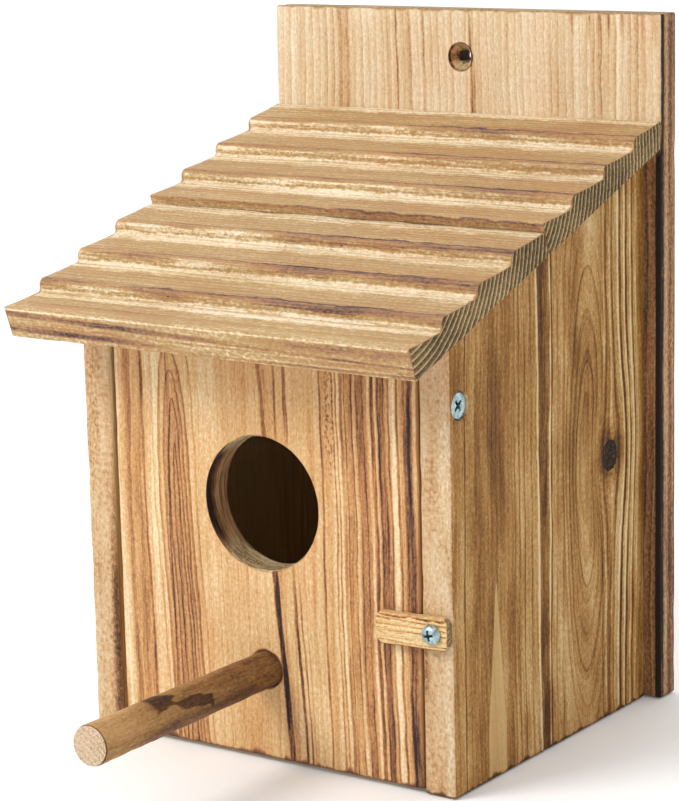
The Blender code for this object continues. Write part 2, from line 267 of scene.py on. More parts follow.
@dataclass(frozen=True)
class BoardAxes:
    """A board's own axes: across the grain, out of its show face, and along the grain."""

    origin: Vec
    across: Vec
    through: Vec
    along: Vec

    def world(self, a: np.ndarray, t: np.ndarray, l: np.ndarray) -> np.ndarray:
        """Points in metres from board coordinates in millimetres."""
        points = np.array(self.origin, float)
        for values, axis in ((a, self.across), (t, self.through), (l, self.along)):
            points = points + values[..., None] * np.array(axis, float)
        return points * MM

    def flipped(self) -> bool:
        """Whether the axes are left-handed."""
        return float(np.dot(np.cross(self.across, self.along), self.through)) < 0

    def sockets(self, g: Graph) -> Tuple[Socket, Socket, Socket]:
        """The board coordinates of a shaded point, in millimetres."""
        place = g.tree.nodes.new("ShaderNodeTexCoord").outputs["Object"]
        result = []
        for axis in (self.across, self.through, self.along):
            offset = -float(np.dot(self.origin, axis))
            result.append(g.fma(g.dot(place, axis), 1 / MM, offset))
        return result[0], result[1], result[2]

    def facing(self, g: Graph) -> Tuple[Socket, Socket]:
        """How far a surface faces across the grain, and along it, from 0 to 1."""
        normal = g.tree.nodes.new("ShaderNodeTexCoord").outputs["Normal"]
        edge = g.ease(g.op("ABSOLUTE", g.dot(normal, self.across)), 0.6, 0.8)
        end = g.ease(g.op("ABSOLUTE", g.dot(normal, self.along)), 0.6, 0.8)
        return edge, end


@dataclass(frozen=True)
class Streak:
    """A scorched or bare line that runs with the grain.

    Its places are in millimetres across the board (or through it, on an edge) where the grain
    begins and where it ends. A negative depth leaves the wood barer than its surroundings.
    """

    top: float
    foot: float
    width: float
    depth: float
    low: Optional[float] = None
    high: Optional[float] = None
    fade: float = 12.0
    soft: float = 0.5
    ridge: float = 0.0
    lie: Lie = Lie.FACE


@dataclass(frozen=True)
class Loop:
    """A long closed curve of one growth ring, cut flat by the saw."""

    at: float
    height: float
    half_width: float
    half_length: float
    rim: float
    fill: float = 0.0
    line: float = 0.6
    lean: float = 0.0
    blunt: float = 2.0


@dataclass(frozen=True)
class Knot:
    """A dead knot, which pushes the grain aside."""

    at: float
    height: float
    radius: float
    sink: float = 0.35


@dataclass(frozen=True)
class Rings:
    """Growth rings round a centre line in the board's own coordinates."""

    at: float = -60.0
    through: float = -40.0
    height: float = 0.0
    stretch: float = 0.0
    spacing: float = 3.2
    strength: float = 0.25
    sharpness: float = 3.0
    ridge: float = 0.0


@dataclass(frozen=True)
class Wave:
    """One sine of the grain's slow wander, lengths in millimetres per radian."""

    swing: float
    length: float
    drift: float
    phase: float


@dataclass(frozen=True)
class Figure:
    """Everything that is drawn in a board by its growth and by the torch."""

    span: Tuple[float, float] = (0.0, 126.0)
    rings: Rings = Rings()
    streaks: Tuple[Streak, ...] = ()
    loops: Tuple[Loop, ...] = ()
    knots: Tuple[Knot, ...] = ()
    waves: Tuple[Wave, ...] = (Wave(0.7, 38.0, 70.0, 0.4), Wave(0.22, 11.0, 23.0, 2.1))

    def course(self, item: Streak) -> Tuple[float, float]:
        """A streak's place where the along coordinate is 0, and how it leans."""
        lean = (item.top - item.foot) / (self.span[1] - self.span[0])
        return item.foot - lean * self.span[0], lean

    def raised(self, a: np.ndarray, l: np.ndarray) -> np.ndarray:
        """Height of the raised grain on the show face, in millimetres.

        Args:
            a: Places across the board.
            l: Places along it.

        Returns:
            Heights, positive outwards.
        """
        moved = a.copy()
        for wave in self.waves:
            moved = moved + wave.swing * np.sin(l / wave.length + a / wave.drift + wave.phase)
        for knot in self.knots:
            reach = ((moved - knot.at) / (2.4 * knot.radius)) ** 2 + ((l - knot.height) / (5 * knot.radius)) ** 2
            moved = moved - (moved - knot.at) * 0.8 * np.exp(-reach)
        height = np.zeros_like(moved)
        if self.rings.ridge:
            r = self.rings
            radius = np.sqrt((moved - r.at) ** 2 + (r.stretch * (l - r.height)) ** 2 + r.through ** 2)
            phase = radius / r.spacing
            index = np.floor(phase)
            weight = 0.35 + 0.65 * np.mod(np.sin(index * 12.9898) * 437.585, 1.0)
            height = height + r.ridge * weight * (np.mod(phase, 1.0) ** r.sharpness)
        for streak in self.streaks:
            if not streak.ridge or streak.lie is not Lie.FACE:
                continue
            start, lean = self.course(streak)
            offset = np.abs(moved - lean * l - start) / (streak.width / 2)
            height = height + streak.ridge * np.clip(1.3 - offset, 0, 1) ** 1.5
        for knot in self.knots:
            distance = np.hypot(a - knot.at, (l - knot.height) * 0.92) / knot.radius
            height = height - knot.sink * np.clip(1.15 - distance, 0, 1) ** 0.5
            height = height + 0.25 * knot.sink * np.exp(-((distance - 1.35) / 0.25) ** 2)
        return height


# Display colours from bare wood to char
DOOR_SHADES = ((0.0, "f0dcb6"), (0.2, "dab480"), (0.38, "c8955e"), (0.55, "a8744a"), (0.7, "82563a"),
               (0.84, "563a2e"), (1.0, "2c2321"))
BACK_SHADES = ((0.0, "ecdcc0"), (0.22, "d6bd98"), (0.42, "c8a276"), (0.6, "a4784e"), (0.78, "6b4830"),
               (1.0, "241c18"))
SIDE_SHADES = ((0.0, "ead2a2"), (0.16, "d2ae74"), (0.32, "b88949"), (0.5, "8f6023"), (0.7, "62390f"),
               (1.0, "1a1109"))
ROOF_SHADES = ((0.0, "f0e1c6"), (0.18, "d0b58a"), (0.32, "b39464"), (0.44, "b08859"), (0.56, "a07655"),
               (0.7, "86654f"), (0.85, "624840"), (1.0, "2b2122"))
END_SHADES = ((0.0, "d8c196"), (0.25, "a98d62"), (0.5, "7f6642"), (0.75, "5a462c"), (1.0, "241b12"))
PERCH_SHADES = ((0.0, "d0a474"), (0.3, "ab8450"), (0.5, "8a643b"), (0.7, "604028"), (1.0, "2c1e14"))
BUTTON_SHADES = ((0.0, "f3deac"), (0.25, "dfc08a"), (0.5, "c48b4c"), (0.75, "7d4f2c"), (1.0, "2a1a12"))


@dataclass(frozen=True)
class TorchedWood:
    """Softwood browned with a torch and brushed: colour, gloss and fine relief.

    The scorch runs from 0, bare wood, to 1, char. Lengths are in millimetres.
    """

    name: str
    axes: BoardAxes
    figure: Figure
    shades: Tuple[Tuple[float, str], ...]
    ends: Tuple[float, float]
    sides: Tuple[float, float]
    base: float = 0.22
    mottle: float = 0.22
    fibre: float = 0.3
    grit: float = 0.66
    pebble: float = 0.0
    end_lay: float = 0.0
    bare_depth: float = 0.0
    edge_base: Optional[float] = None
    edge_shades: Tuple[Tuple[float, str], ...] = ()
    end_base: float = 0.45
    end_rings: float = 0.28
    end_shades: Tuple[Tuple[float, str], ...] = END_SHADES
    burn_low: float = 0.8
    burn_high: float = 0.8
    burn_sides: float = 0.3
    burn_reach: float = 1.6
    seed: float = 0.0
    bump: float = 0.3
    extra: Optional[Callable[["TorchedWood", Graph, Socket, Socket, Socket, Socket], Socket]] = field(
        default=None, compare=False)

    def drift(self, g: Graph, a: Socket, l: Socket) -> Socket:
        """Places across the board, moved by the grain's wander and its knots."""
        moved = a
        for wave in self.figure.waves:
            turn = g.fma(l, 1 / wave.length, g.fma(a, 1 / wave.drift, wave.phase))
            moved = g.fma(g.op("SINE", turn), wave.swing, moved)
        for knot in self.figure.knots:
            dx = g.add(moved, -knot.at)
            dy = g.add(l, -knot.height)
            sx = g.op("POWER", g.op("ABSOLUTE", g.mul(dx, 1 / (2.4 * knot.radius))), 2.0)
            sy = g.op("POWER", g.op("ABSOLUTE", g.mul(dy, 1 / (5 * knot.radius))), 2.0)
            pull = g.mul(g.op("EXPONENT", g.mul(g.add(sx, sy), -1.0)), -0.8)
            moved = g.fma(dx, pull, moved)
        return moved

    def grown(self, g: Graph, moved: Socket, t: Socket, l: Socket) -> Tuple[Socket, Socket]:
        """Late wood of the growth rings, weighted ring by ring, and its bare profile."""
        r = self.figure.rings
        x = g.add(moved, -r.at)
        y = g.add(t, -r.through)
        z = g.mul(g.add(l, -r.height), r.stretch)
        squares = g.fma(x, x, g.fma(y, y, g.mul(z, z)))
        phase = g.mul(g.op("SQRT", squares), 1 / r.spacing)
        index = g.op("FLOOR", phase)
        random = g.op("FRACT", g.mul(g.op("SINE", g.mul(index, 12.9898)), 437.585))
        profile = g.op("POWER", g.op("FRACT", phase), r.sharpness)
        return g.mul(profile, g.fma(random, 0.65, 0.35)), profile

    def streak(self, g: Graph, item: Streak, place: Socket, l: Socket, mask: Socket) -> Socket:
        """One streak's share of scorch."""
        start, lean = self.figure.course(item)
        offset = g.op("ABSOLUTE", g.fma(l, -lean, g.add(place, -start)))
        half = item.width / 2
        band = g.ease(offset, half * (1 + item.soft), half * (1 - item.soft), 0.0, item.depth)
        if item.low is not None:
            band = g.mul(band, g.ease(l, item.low - item.fade, item.low + item.fade))
        if item.high is not None:
            band = g.mul(band, g.ease(l, item.high + item.fade, item.high - item.fade))
        if item.lie is Lie.EDGE:
            band = g.mul(band, mask)
        return band

    def loop(self, g: Graph, item: Loop, place: Socket, l: Socket) -> Socket:
        """One loop's rim and the tone inside it."""
        x = g.mul(g.fma(l, item.lean, g.add(place, -item.at)), 1 / item.half_width)
        y = g.op("ABSOLUTE", g.mul(g.add(l, -item.height), 1 / item.half_length))
        y = g.op("MAXIMUM", y, 0.001)
        bent = g.op("POWER", y, item.blunt / 2)
        radius = g.op("SQRT", g.fma(x, x, g.mul(bent, bent)))
        across = g.mul(x, 1 / item.half_width)
        bend = g.mul(bent, g.op("POWER", y, item.blunt / 2 - 1))
        along = g.mul(bend, item.blunt / 2 / item.half_length)
        steep = g.op("SQRT", g.fma(across, across, g.mul(along, along)))
        distance = g.op("DIVIDE", g.mul(g.add(radius, -1.0), radius), g.op("MAXIMUM", steep, 0.0001))
        rim = g.mul(g.ease(distance, -1.6 * item.line, 0.0), g.ease(distance, 0.5 * item.line, 0.0))
        return g.fma(rim, item.rim, g.mul(g.ease(distance, 0.3, -0.8), item.fill))

    def burnt(self, g: Graph, a: Socket, l: Socket, ragged: Socket, patches: Socket) -> Socket:
        """Char that creeps in from the board's ends and sides."""
        reach = g.fma(ragged, 1.5 * self.burn_reach, 0.1 * self.burn_reach)
        reach = g.add(reach, g.ease(patches, 0.44, 0.66, 0.0, 2.2 * self.burn_reach))
        low = g.ease(g.add(l, -self.ends[0]), reach, 0.0, 0.0, self.burn_low)
        high = g.ease(g.op("SUBTRACT", self.ends[1], l), reach, 0.0, 0.0, self.burn_high)
        near = g.op("MINIMUM", g.add(a, -self.sides[0]), g.op("SUBTRACT", self.sides[1], a))
        side = g.ease(near, g.mul(reach, 0.6), 0.0, 0.0, self.burn_sides)
        return g.op("MAXIMUM", g.op("MAXIMUM", low, high), side)

    def knotted(self, g: Graph, scorch: Socket, a: Socket, l: Socket, speck: Socket) -> Socket:
        """Dark hearts of the knots, with a cracked rim and a warm halo."""
        for knot in self.figure.knots:
            x = g.add(a, -knot.at)
            y = g.mul(g.add(l, -knot.height), 0.92)
            distance = g.mul(g.op("SQRT", g.fma(x, x, g.mul(y, y))), 1 / knot.radius)
            distance = g.fma(g.add(speck, -0.5), 0.4, distance)
            halo = g.ease(distance, 2.2, 0.9, 0.0, 0.3)
            heart = g.ease(distance, 1.06, 0.9, 0.0, 1.12)
            mottle = g.noise(g.combine(g.mul(a, 0.9), g.mul(l, 0.9), 5.0), 2, 0.6)
            pale = g.mul(g.ease(distance, 0.86, 0.7), g.ease(mottle, 0.42, 0.66, 0.04, 0.36))
            dots = g.ease(g.cells(g.combine(g.mul(a, 0.42), g.mul(l, 0.42), 2.0)), 0.16, 0.08, 0.0, 0.5)
            dots = g.mul(dots, g.mul(g.ease(distance, 2.0, 1.7), g.ease(distance, 1.1, 1.3)))
            scorch = g.op("MAXIMUM", g.add(g.add(scorch, halo), dots), g.op("SUBTRACT", heart, pale))
        return scorch

    def build(self) -> bpy.types.Material:
        """Write the material's nodes.

        Returns:
            The finished material.
        """
        material = bpy.data.materials.new(self.name)
        g = Graph(material)
        a, t, l = self.axes.sockets(g)
        edge, end = self.axes.facing(g)
        seed = self.seed
        waver = g.noise(g.combine(g.fma(a, 0.25, seed), g.mul(t, 0.25), g.mul(l, 0.09)), 2, 0.5)
        moved = g.fma(g.add(waver, -0.5), 1.1, self.drift(g, a, l))

        coarse = g.noise(g.combine(g.fma(a, 0.035, seed), g.fma(t, 0.05, seed), g.mul(l, 0.012)), 3, 0.6)
        fibres = g.noise(g.combine(g.fma(moved, 1.5, seed), g.mul(t, 1.5), g.mul(l, 0.03)), 4, 0.62)
        threads = g.noise(g.combine(g.fma(moved, 5.0, seed), g.mul(t, 5.0), g.mul(l, 0.22)), 2, 0.6)
        speck = g.noise(g.combine(g.fma(a, 1.1, seed), g.mul(t, 1.1), g.mul(l, 0.55)), 3, 0.6)
        broken = g.noise(g.combine(g.fma(moved, 0.6, seed + 7), g.mul(t, 0.6), g.mul(l, 0.045)), 3, 0.65)
        grit = g.noise(g.combine(g.fma(moved, 1.3, seed), g.mul(t, 1.3), g.mul(l, 0.75)), 2, 0.8)
        patches = g.noise(g.combine(g.fma(moved, 0.13, seed), g.mul(t, 0.13), g.mul(l, 0.028)), 3, 0.6)

        rings, profile = self.grown(g, moved, t, l)
        ring_share = g.mul(rings, g.ease(coarse, 0.25, 0.7, 0.5 * self.figure.rings.strength,
                                         1.3 * self.figure.rings.strength))
        drawn: Term = 0.0
        bare: Term = 0.0
        inset = g.op("MINIMUM", g.add(a, -self.sides[0]), g.op("SUBTRACT", self.sides[1], a))
        brink = g.mul(edge, g.ease(inset, 2.0, 1.0))
        for item in self.figure.streaks:
            place = t if item.lie is Lie.EDGE else moved
            share = self.streak(g, item, place, l, brink)
            if item.depth < 0:
                bare = g.add(bare, share)
            else:
                drawn = g.op("MAXIMUM", drawn, share)
        drawn = g.mul(drawn, g.ease(broken, 0.28, 0.66, 0.4, 1.15))
        for item in self.figure.loops:
            drawn = g.add(drawn, self.loop(g, item, moved, l))
        drawn = g.add(drawn, bare)

        base: Term = self.base
        if self.edge_base is not None:
            base = g.fma(edge, self.edge_base - self.base, self.base)
        scorch = g.add(base, g.mul(g.add(coarse, -0.5), self.mottle * 1.6))
        scorch = g.fma(g.add(patches, -0.5), self.mottle * 1.6, scorch)
        scorch = g.fma(g.add(grit, -0.5), self.grit, scorch)
        scorch = g.add(scorch, g.mul(ring_share, g.fma(edge, -0.7, 1.0)))
        rough_fibre = g.fma(g.ease(drawn, 0.0, 0.7), 0.7 * self.fibre, self.fibre)
        scorch = g.fma(g.add(fibres, -0.5), rough_fibre, scorch)
        scorch = g.fma(g.add(threads, -0.5), self.fibre * 1.1, scorch)
        scorch = g.add(scorch, drawn)
        if self.pebble:
            pebbles = g.noise(g.combine(g.fma(a, 1.2, seed), g.mul(t, 1.2), g.mul(l, 0.75)), 2, 0.7)
            scorch = g.fma(g.mul(g.add(pebbles, -0.5), edge), self.pebble, scorch)
        if self.bare_depth:
            inner = g.ease(t, -0.45 * self.bare_depth, -0.75 * self.bare_depth)
            inner = g.mul(inner, g.op("SUBTRACT", 1.0, edge))
            scorch = g.add(scorch, g.mul(inner, g.fma(scorch, -0.85, 0.02)))
        if self.extra:
            scorch = self.extra(self, g, scorch, a, t, l)
        scorch = self.knotted(g, scorch, a, l, speck)
        burn = self.burnt(g, a, l, speck, patches)
        scorch = g.op("MAXIMUM", scorch, g.fma(burn, 1.0, g.mul(g.add(fibres, -0.5), 0.2)))

        wood = g.ramp(g.op("MAXIMUM", scorch, 0.0), self.shades)
        if self.edge_shades:
            wood = g.mix(edge, wood, g.ramp(g.op("MAXIMUM", scorch, 0.0), self.edge_shades))
        warm = g.noise(g.combine(g.fma(a, 0.09, seed + 3), g.mul(t, 0.09), g.mul(l, 0.02)), 2, 0.5)
        tint = g.ramp(g.ease(warm, 0.3, 0.7), ((0.0, "fff6e4"), (0.5, "ffffff"), (1.0, "ffe9d8")))
        wood = g.mix(0.4, wood, tint, "MULTIPLY")

        end_speck = g.noise(g.combine(g.mul(a, 1.7), g.mul(t, 1.7), g.mul(l, 0.6)), 2, 0.7)
        end_scorch = g.fma(g.add(end_speck, -0.5), 0.85, self.end_base)
        end_scorch = g.fma(profile, -self.end_rings, end_scorch)
        end_scorch = g.fma(g.add(grit, -0.5), 0.7, end_scorch)
        if self.end_lay:
            lay = g.noise(g.combine(g.mul(a, 0.12), g.mul(t, 1.3), g.mul(l, 0.12)), 3, 0.7)
            end_scorch = g.fma(g.add(lay, -0.5), self.end_lay, end_scorch)
        end_scorch = g.fma(g.add(coarse, -0.5), 0.8, end_scorch)
        end_wood = g.ramp(end_scorch, self.end_shades)
        colour = g.mix(end, wood, end_wood)
        g.feed(g.shader.inputs["Base Color"], colour)

        gloss = g.fma(g.add(fibres, -0.5), 0.25, 0.62)
        g.feed(g.shader.inputs["Roughness"], g.fma(g.op("MINIMUM", scorch, 1.0), 0.12, gloss))
        g.shader.inputs["Specular IOR Level"].default_value = 0.32

        height = g.fma(fibres, 0.5, g.fma(threads, 0.35, g.mul(grit, 0.45)))
        height = g.fma(profile, 0.35 * (0.3 + self.figure.rings.strength), height)
        height = g.fma(drawn, -0.5, height)
        height = g.add(height, g.mul(g.mul(end_speck, end), 0.6))
        g.relief(g.mul(height, 1.0), self.bump)
        return material


# ---------------------------------------------------------------------------
# Meshes
# ---------------------------------------------------------------------------


def rounded_edge(length: float, radius: float, inner: Sequence[float]) -> List[Tuple[float, float]]:
    """Places along one line of a section and how far each is set back by the rounded corners.

    Args:
        length: The line's whole length.
        radius: Corner radius at both ends.
        inner: Places between the corners.

    Returns:
        Pairs of place and setback, from 0 to length.
    """
    corner = []
    for step in range(4):
        angle = math.radians(90 * step / 3)
        corner.append((radius * (1 - math.cos(angle)), radius * (1 - math.sin(angle))))
    rest = [(place, 0.0) for place in inner if radius * 1.2 < place < length - radius * 1.2]
    mirror = [(length - place, back) for place, back in reversed(corner)]
    return corner + rest + mirror


def even(length: float, pitch: float) -> List[float]:
    """Places at an even pitch along a length."""
    count = max(2, round(length / pitch))
    return [length * i / count for i in range(1, count)]


@dataclass
class Section:
    """A board's cross-section: matching points along its show face and its back."""

    front: List[Tuple[float, float]]
    rear: List[Tuple[float, float]]


def plank_section(low: float, high: float, thickness: float, radius: float, pitch: float) -> Section:
    """A rectangular section whose show face is at 0, with rounded corners."""
    line = rounded_edge(high - low, radius, even(high - low, pitch))
    front = [(low + place, -back) for place, back in line]
    rear = [(low + place, back - thickness) for place, back in line]
    return Section(front, rear)


@dataclass
class Plank:
    """Makes a board's mesh by running its section along the grain."""

    name: str
    axes: BoardAxes
    section: Section
    low: float
    high: Callable[[float], float]
    figure: Figure
    radius: float = 0.5
    pitch: float = 4.0
    wear: float = 0.18
    seed: float = 0.0

    def runs(self) -> List[Tuple[float, float, float]]:
        """For each ring of points: share of the length, offset from that end, setback."""
        rows = []
        for step in range(4):
            angle = math.radians(90 * step / 3)
            rows.append((0.0, self.radius * (1 - math.cos(angle)), self.radius * (1 - math.sin(angle))))
        length = max(self.high(self.section.front[0][0]), self.high(self.section.front[-1][0])) - self.low
        count = max(2, round(length / self.pitch))
        middle = [(i / count, 0.0, 0.0) for i in range(1, count)]
        top = [(1.0, -offset, back) for _, offset, back in reversed(rows)]
        return rows + middle + top

    def build(self) -> bpy.types.Object:
        """Build the board.

        Returns:
            The new object, its points in place in the frame.
        """
        rows = self.runs()
        front = np.array(self.section.front)
        rear = np.array(self.section.rear)
        both = np.stack([front, rear])
        centre = (both.reshape(-1, 2).max(0) + both.reshape(-1, 2).min(0)) / 2
        half = (both.reshape(-1, 2).max(0) - both.reshape(-1, 2).min(0)) / 2
        tops = np.array([[self.high(point[0]) for point in line] for line in both])
        count = front.shape[0]
        grid = np.zeros((2, count, len(rows), 3))
        for j, (share, offset, back) in enumerate(rows):
            shrink = 1 - back / half
            moved = centre + (both - centre) * shrink
            grid[:, :, j, 0] = moved[:, :, 0]
            grid[:, :, j, 1] = moved[:, :, 1]
            grid[:, :, j, 2] = self.low + share * (tops - self.low) + offset
        for side, sign in ((0, 1.0), (1, -1.0)):
            raised = self.figure.raised(grid[side, :, :, 0], grid[side, :, :, 2] + 37.0 * side)
            raised[[0, -1], :] = 0
            grid[side, :, :, 1] += sign * raised
        self.worn(grid, centre)
        points = self.axes.world(grid[..., 0], grid[..., 1], grid[..., 2]).reshape(-1, 3)
        faces = self.faces(count, len(rows))
        if self.axes.flipped():
            faces = [face[::-1] for face in faces]
        mesh = bpy.data.meshes.new(self.name)
        mesh.from_pydata([tuple(p) for p in points], [], faces)
        mesh.update()
        return add_object(self.name, mesh)

    def worn(self, grid: np.ndarray, centre: np.ndarray) -> None:
        """Dent the corners of the section here and there, towards its middle."""
        count = grid.shape[1]
        for i in [0, 1, 2, count - 3, count - 2, count - 1]:
            for side in (0, 1):
                for j in range(grid.shape[2]):
                    a, t, l = grid[side, i, j]
                    value = noise.noise(Vector((l * 0.11 + self.seed, a * 0.05, t * 0.3)))
                    dent = self.wear * max(0.0, value) ** 1.5 * 2
                    toward = centre - np.array([a, t])
                    grid[side, i, j, :2] += np.sign(toward) * dent

    @staticmethod
    def faces(count: int, rows: int) -> List[Tuple[int, ...]]:
        """Quads of both faces, both edges and both ends."""
        def at(side: int, i: int, j: int) -> int:
            return (side * count + i) * rows + j

        faces: List[Tuple[int, ...]] = []
        for i in range(count - 1):
            for j in range(rows - 1):
                faces.append((at(0, i, j), at(0, i + 1, j), at(0, i + 1, j + 1), at(0, i, j + 1)))
                faces.append((at(1, i, j), at(1, i, j + 1), at(1, i + 1, j + 1), at(1, i + 1, j)))
            faces.append((at(0, i, 0), at(1, i, 0), at(1, i + 1, 0), at(0, i + 1, 0)))
            end = rows - 1
            faces.append((at(0, i, end), at(0, i + 1, end), at(1, i + 1, end), at(1, i, end)))
        for j in range(rows - 1):
            last = count - 1
            faces.append((at(0, 0, j), at(0, 0, j + 1), at(1, 0, j + 1), at(1, 0, j)))
            faces.append((at(0, last, j), at(1, last, j), at(1, last, j + 1), at(0, last, j + 1)))
        return faces


def add_object(name: str, mesh: bpy.types.Mesh) -> bpy.types.Object:
    """Put a mesh in the scene as an object."""
    item = bpy.data.objects.new(name, mesh)
    bpy.context.scene.collection.objects.link(item)
    return item


def smooth(item: bpy.types.Object, angle: float = 40.0) -> None:
    """Shade an object smooth, apart from edges sharper than an angle in degrees."""
    item.data.shade_smooth()
    item.data.set_sharp_from_angle(angle=math.radians(angle))


def turned(name: str, profile: Sequence[Tuple[float, float]], sides: int, ragged: float = 0.0) -> bpy.types.Mesh:
    """A closed turned mesh about its own Z, from (radius, height) points, top to bottom.

    Args:
        name: The mesh's name.
        profile: Points from the axis at the top to the axis at the bottom, in millimetres.
        sides: How many sides the turning has.
        ragged: Uneven radius, as torn wood has, in millimetres.

    Returns:
        The mesh, in metres.
    """
    shape = bmesh.new()
    rings: List[List[bmesh.types.BMVert]] = []
    for radius, height in profile:
        if radius == 0:
            rings.append([shape.verts.new((0, 0, height * MM))])
            continue
        ring = []
        for k in range(sides):
            angle = 2 * math.pi * k / sides
            grain = noise.noise(Vector((3 * math.cos(angle), 3 * math.sin(angle), height * 0.5)))
            wide = radius + ragged * grain
            ring.append(shape.verts.new((wide * MM * math.cos(angle), wide * MM * math.sin(angle), height * MM)))
        rings.append(ring)
    for upper, lower in zip(rings, rings[1:]):
        for k in range(sides):
            n = (k + 1) % sides
            loop = [upper[k % len(upper)], lower[k % len(lower)], lower[n % len(lower)], upper[n % len(upper)]]
            unique = list(dict.fromkeys(loop))
            shape.faces.new(unique)
    bmesh.ops.recalc_face_normals(shape, faces=shape.faces)
    mesh = bpy.data.meshes.new(name)
    shape.to_mesh(mesh)
    shape.free()
    return mesh


def carve(item: bpy.types.Object, cutters: Sequence[bpy.types.Object]) -> None:
    """Take cutters out of an object, leave no modifier, and remove the cutters."""
    for cutter in cutters:
        step = item.modifiers.new("cut", "BOOLEAN")
        step.operation = "DIFFERENCE"
        step.solver = "EXACT"
        step.object = cutter
    bpy.context.view_layer.update()
    graph = bpy.context.evaluated_depsgraph_get()
    mesh = bpy.data.meshes.new_from_object(item.evaluated_get(graph))
    item.modifiers.clear()
    mesh.name = item.data.name
    item.data = mesh
    for cutter in cutters:
        bpy.data.objects.remove(cutter, do_unlink=True)


# Turns that lay a piece's own Z along a frame axis
TURNS: Dict[str, Matrix] = {
    "+x": Matrix.Rotation(math.radians(90), 4, "Y"),
    "-x": Matrix.Rotation(math.radians(-90), 4, "Y"),
    "+y": Matrix.Rotation(math.radians(-90), 4, "X"),
    "-y": Matrix.Rotation(math.radians(90), 4, "X"),
}


def bored(name: str, profile: Sequence[Tuple[float, float]], place: Vec, facing: str, sides: int = 48,
          ragged: float = 0.0) -> bpy.types.Object:
    """A turned cutter whose height 0 is at a place, facing a frame axis."""
    mesh = turned(name, profile, sides, ragged)
    mesh.transform(Matrix.Translation(Vector(place) * MM) @ TURNS[facing])
    return add_object(name, mesh)


@dataclass(frozen=True)
class ZincPlate:
    """Bright zinc plate, slightly blue, with fine tooling marks."""

    name: str = "zinc plate"
    painted_shade_scale: float = 1.0

    def build(self) -> bpy.types.Material:
        """Write the material's nodes."""
        material = bpy.data.materials.new(self.name)
        g = Graph(material)
        place = g.tree.nodes.new("ShaderNodeTexCoord").outputs["Object"]
        scaled = g.tree.nodes.new("ShaderNodeVectorMath")
        scaled.operation = "SCALE"
        scaled.inputs[3].default_value = 900.0
        g.feed(scaled.inputs[0], place)
        cloud = g.noise(scaled.outputs[0], 3, 0.6)
        colour = g.ramp(g.ease(cloud, 0.3, 0.7), ((0.0, "8ba4a8"), (0.55, "aec8cc"), (1.0, "d8eaec")))
        # A scale below 1 darkens the zinc, as painted shade for the inside of a screw's recess.
        shade = (self.painted_shade_scale, self.painted_shade_scale, self.painted_shade_scale, 1.0)
        g.feed(g.shader.inputs["Base Color"], g.mix(1.0, colour, shade, "MULTIPLY"))
        g.shader.inputs["Metallic"].default_value = 0.85
        g.feed(g.shader.inputs["Roughness"], g.ease(cloud, 0.2, 0.8, 0.28, 0.5))
        g.relief(cloud, 0.02)
        return material


